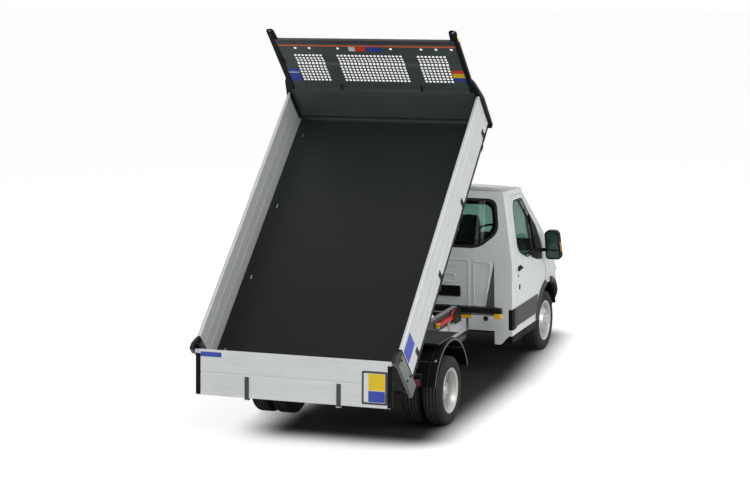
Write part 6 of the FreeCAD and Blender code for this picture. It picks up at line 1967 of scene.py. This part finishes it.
class TRUCK_OT_cab_inside(bpy.types.Operator):
    """Seats, dashboard and steering wheel"""
    bl_idname = "truck.cab_inside"
    bl_label = "Cab inside"

    def execute(self, context):
        dash = softened("dashboard", 0.02, 4)
        stand_in("dashboard", "here", "grey_grain", dash)
        hood = slab((-0.66, -0.28), (0.235, 0.345), (1.16, 1.215), 0.02, 4)
        vents = [slab((x, x + 0.12), (0.372, 0.386), (1.085, 1.125), 0.006)
            for x in (-0.86, -0.12, 0.03, 0.74)]
        settle("dash_hood", "front", "black_grain", hood, *vents)
        dress("steering_wheel", "black_grain", 0.004)
        for name, centre, half in (("driver", -0.47, 0.245), ("middle", 0.13, 0.215), ("outer", 0.6, 0.235)):
            self.seat(name, centre, half)
        frames = [slab((-0.69, -0.25), (0.64, 1.06), (0.7005, 0.9), 0.02), slab((-0.07, 0.82), (0.64, 1.06),
            (0.7005, 0.9), 0.02)]
        settle("seat_bases", "front", "grey_grain", *frames, slot="seat_cloth")
        inside = flat(filleted([(-0.115, 1.8), (0.115, 1.8), (0.125, 1.865), (-0.125, 1.865)], 0.02),
            (0.47, 0.495), bevel=0.006)
        arm = pipe([(0, 0.47, 1.85), (0, 0.43, 1.885), (0, 0.44, 1.9)], 0.008)
        settle("inside_mirror", "front", "gloss_black", inside, arm)
        return {"FINISHED"}

    def seat(self, name, centre, half):
        """Cushion, back and headrest, each a crowned pad with side bolsters."""
        cushion = self.pad((centre - half, centre + half), (0.565, 1.045), (0.905, 1.145), 0)
        back = self.pad((centre - half + 0.006, centre + half - 0.006), (-0.06, 0.06), (0, 0.545), 0)
        back.data.transform(Matrix.Translation((0, 1.09, 1.035)) @ Matrix.Rotation(math.radians(-11.5), 4,
            "X"))
        rest = self.pad((centre - 0.135, centre + 0.135), (1.168, 1.248), (1.535, 1.744), 0.22)
        stems = [pipe([(centre + dx, 1.2, 1.545), (centre + dx, 1.208, 1.63)], 0.006) for dx in (-0.05, 0.05)]
        settle(name + "_stems", "front", "bright_steel", *stems, slot="seat_cloth")
        for part, piece, fill in (
            ("_cushion", cushion, 0.8),
            ("_back", back, 0.8),
            ("_headrest", rest, 0.85),
        ):
            settle(name + part, "front", "seat_cloth", piece, smooth=80,
                replaces=["seats"] if name + part == "driver_cushion" else ())
            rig.padded(piece, fill=fill)

    def pad(self, x, y, z, taper):
        """A box cut into a grid, swollen between its edges and sewn along two channels."""
        low, high = (Vector((x[0], y[0], z[0])), Vector((x[1], y[1], z[1])))
        size = high - low
        only()
        bpy.ops.mesh.primitive_cube_add(size=1)
        piece = active()
        with editing(piece):
            bpy.ops.mesh.subdivide(number_cuts=9)
        for vertex in piece.data.vertices:
            u, v, w = (c * 2 for c in vertex.co)
            crown = [1 - 0.1 * (b * b + c * c) for b, c in ((v, w), (u, w), (u, v))]
            corner = 1 - 0.035 * max(0, abs(u) + abs(v) + abs(w) - 2)
            groove = 1 - 0.07 * math.exp(-((abs(u) - 0.62) / 0.06) ** 2)
            bolster = 0.94 + 0.06 * portion(abs(u), 0.66, 0.2)
            swell = (1, groove * bolster, groove * bolster)
            vertex.co = Vector((c * crown[i] * corner * swell[i] for i, c in enumerate((u, v, w)))) / 2
        apply_modifier(piece, "SUBSURF", levels=2, render_levels=2)
        reach = [max((abs(vertex.co[i]) for vertex in piece.data.vertices)) for i in range(3)]
        for vertex in piece.data.vertices:
            place = Vector([vertex.co[i] / reach[i] * size[i] / 2 for i in range(3)])
            place.x *= 1 - taper * (place.z / size.z + 0.5)
            vertex.co = (low + high) / 2 + place
        return cleaned(piece)


class TRUCK_OT_cab_lines(bpy.types.Operator):
    """Rake the roof down and the screen pillars in towards the front"""
    bl_idname = "truck.cab_lines"
    bl_label = "Cab lines"

    def execute(self, context):
        rear_end, waist, above_cab = FRONT_WHEEL.y + 1.2, 1.2, 2.3
        narrower, drop = 0.06, 0.07
        for piece in bpy.data.objects:
            if piece.type != "MESH" or piece.name in frame["nodes"]:
                continue
            for vertex in piece.data.vertices:
                rake = portion(rear_end, vertex.co.y, 0.85) * portion(vertex.co.z, waist, 0.8)
                if rake > 0 and vertex.co.z < above_cab:
                    vertex.co.x *= 1 - narrower * rake
                    vertex.co.z -= drop * rake
        return {"FINISHED"}


# ---------------------------------------------------------------- the add-on
GROUPS = (TruckSizes, TruckColours, TruckStage)
OPERATORS = [kind for name, kind in globals().items() if name.startswith("TRUCK_OT_")]


class TRUCK_PT_panel(bpy.types.Panel):
    """Lists the pieces in the order in which they are built"""
    bl_idname = "TRUCK_PT_panel"
    bl_label = "Truck"
    bl_space_type = "VIEW_3D"
    bl_region_type = "UI"
    bl_category = "Truck"

    def draw(self, context):
        for group in (context.scene.truck_sizes, context.scene.truck_colours, context.scene.truck_stage):
            for name in group.__annotations__:
                self.layout.prop(group, name)
        for kind in OPERATORS:
            self.layout.operator(kind.bl_idname)


def register():
    for kind in (*GROUPS, *OPERATORS, TRUCK_PT_panel):
        bpy.utils.register_class(kind)
    bpy.types.Scene.truck_sizes = PointerProperty(type=TruckSizes)
    bpy.types.Scene.truck_colours = PointerProperty(type=TruckColours)
    bpy.types.Scene.truck_stage = PointerProperty(type=TruckStage)


def unregister():
    del bpy.types.Scene.truck_stage
    del bpy.types.Scene.truck_colours
    del bpy.types.Scene.truck_sizes
    for kind in (TRUCK_PT_panel, *reversed(OPERATORS), *reversed(GROUPS)):
        bpy.utils.unregister_class(kind)


def main():
    register()
    make_finishes()
    for kind in OPERATORS:
        group, name = kind.bl_idname.split(".")
        getattr(getattr(bpy.ops, group), name)()
    boxes = [[list(corner) for corner in box] for box in (CAD_BOX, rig.bounds())]
    with open("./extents.json", "w") as out:
        json.dump({"cad": boxes[0], "visual": boxes[1]}, out)


if __name__ == "__main__":
    main()
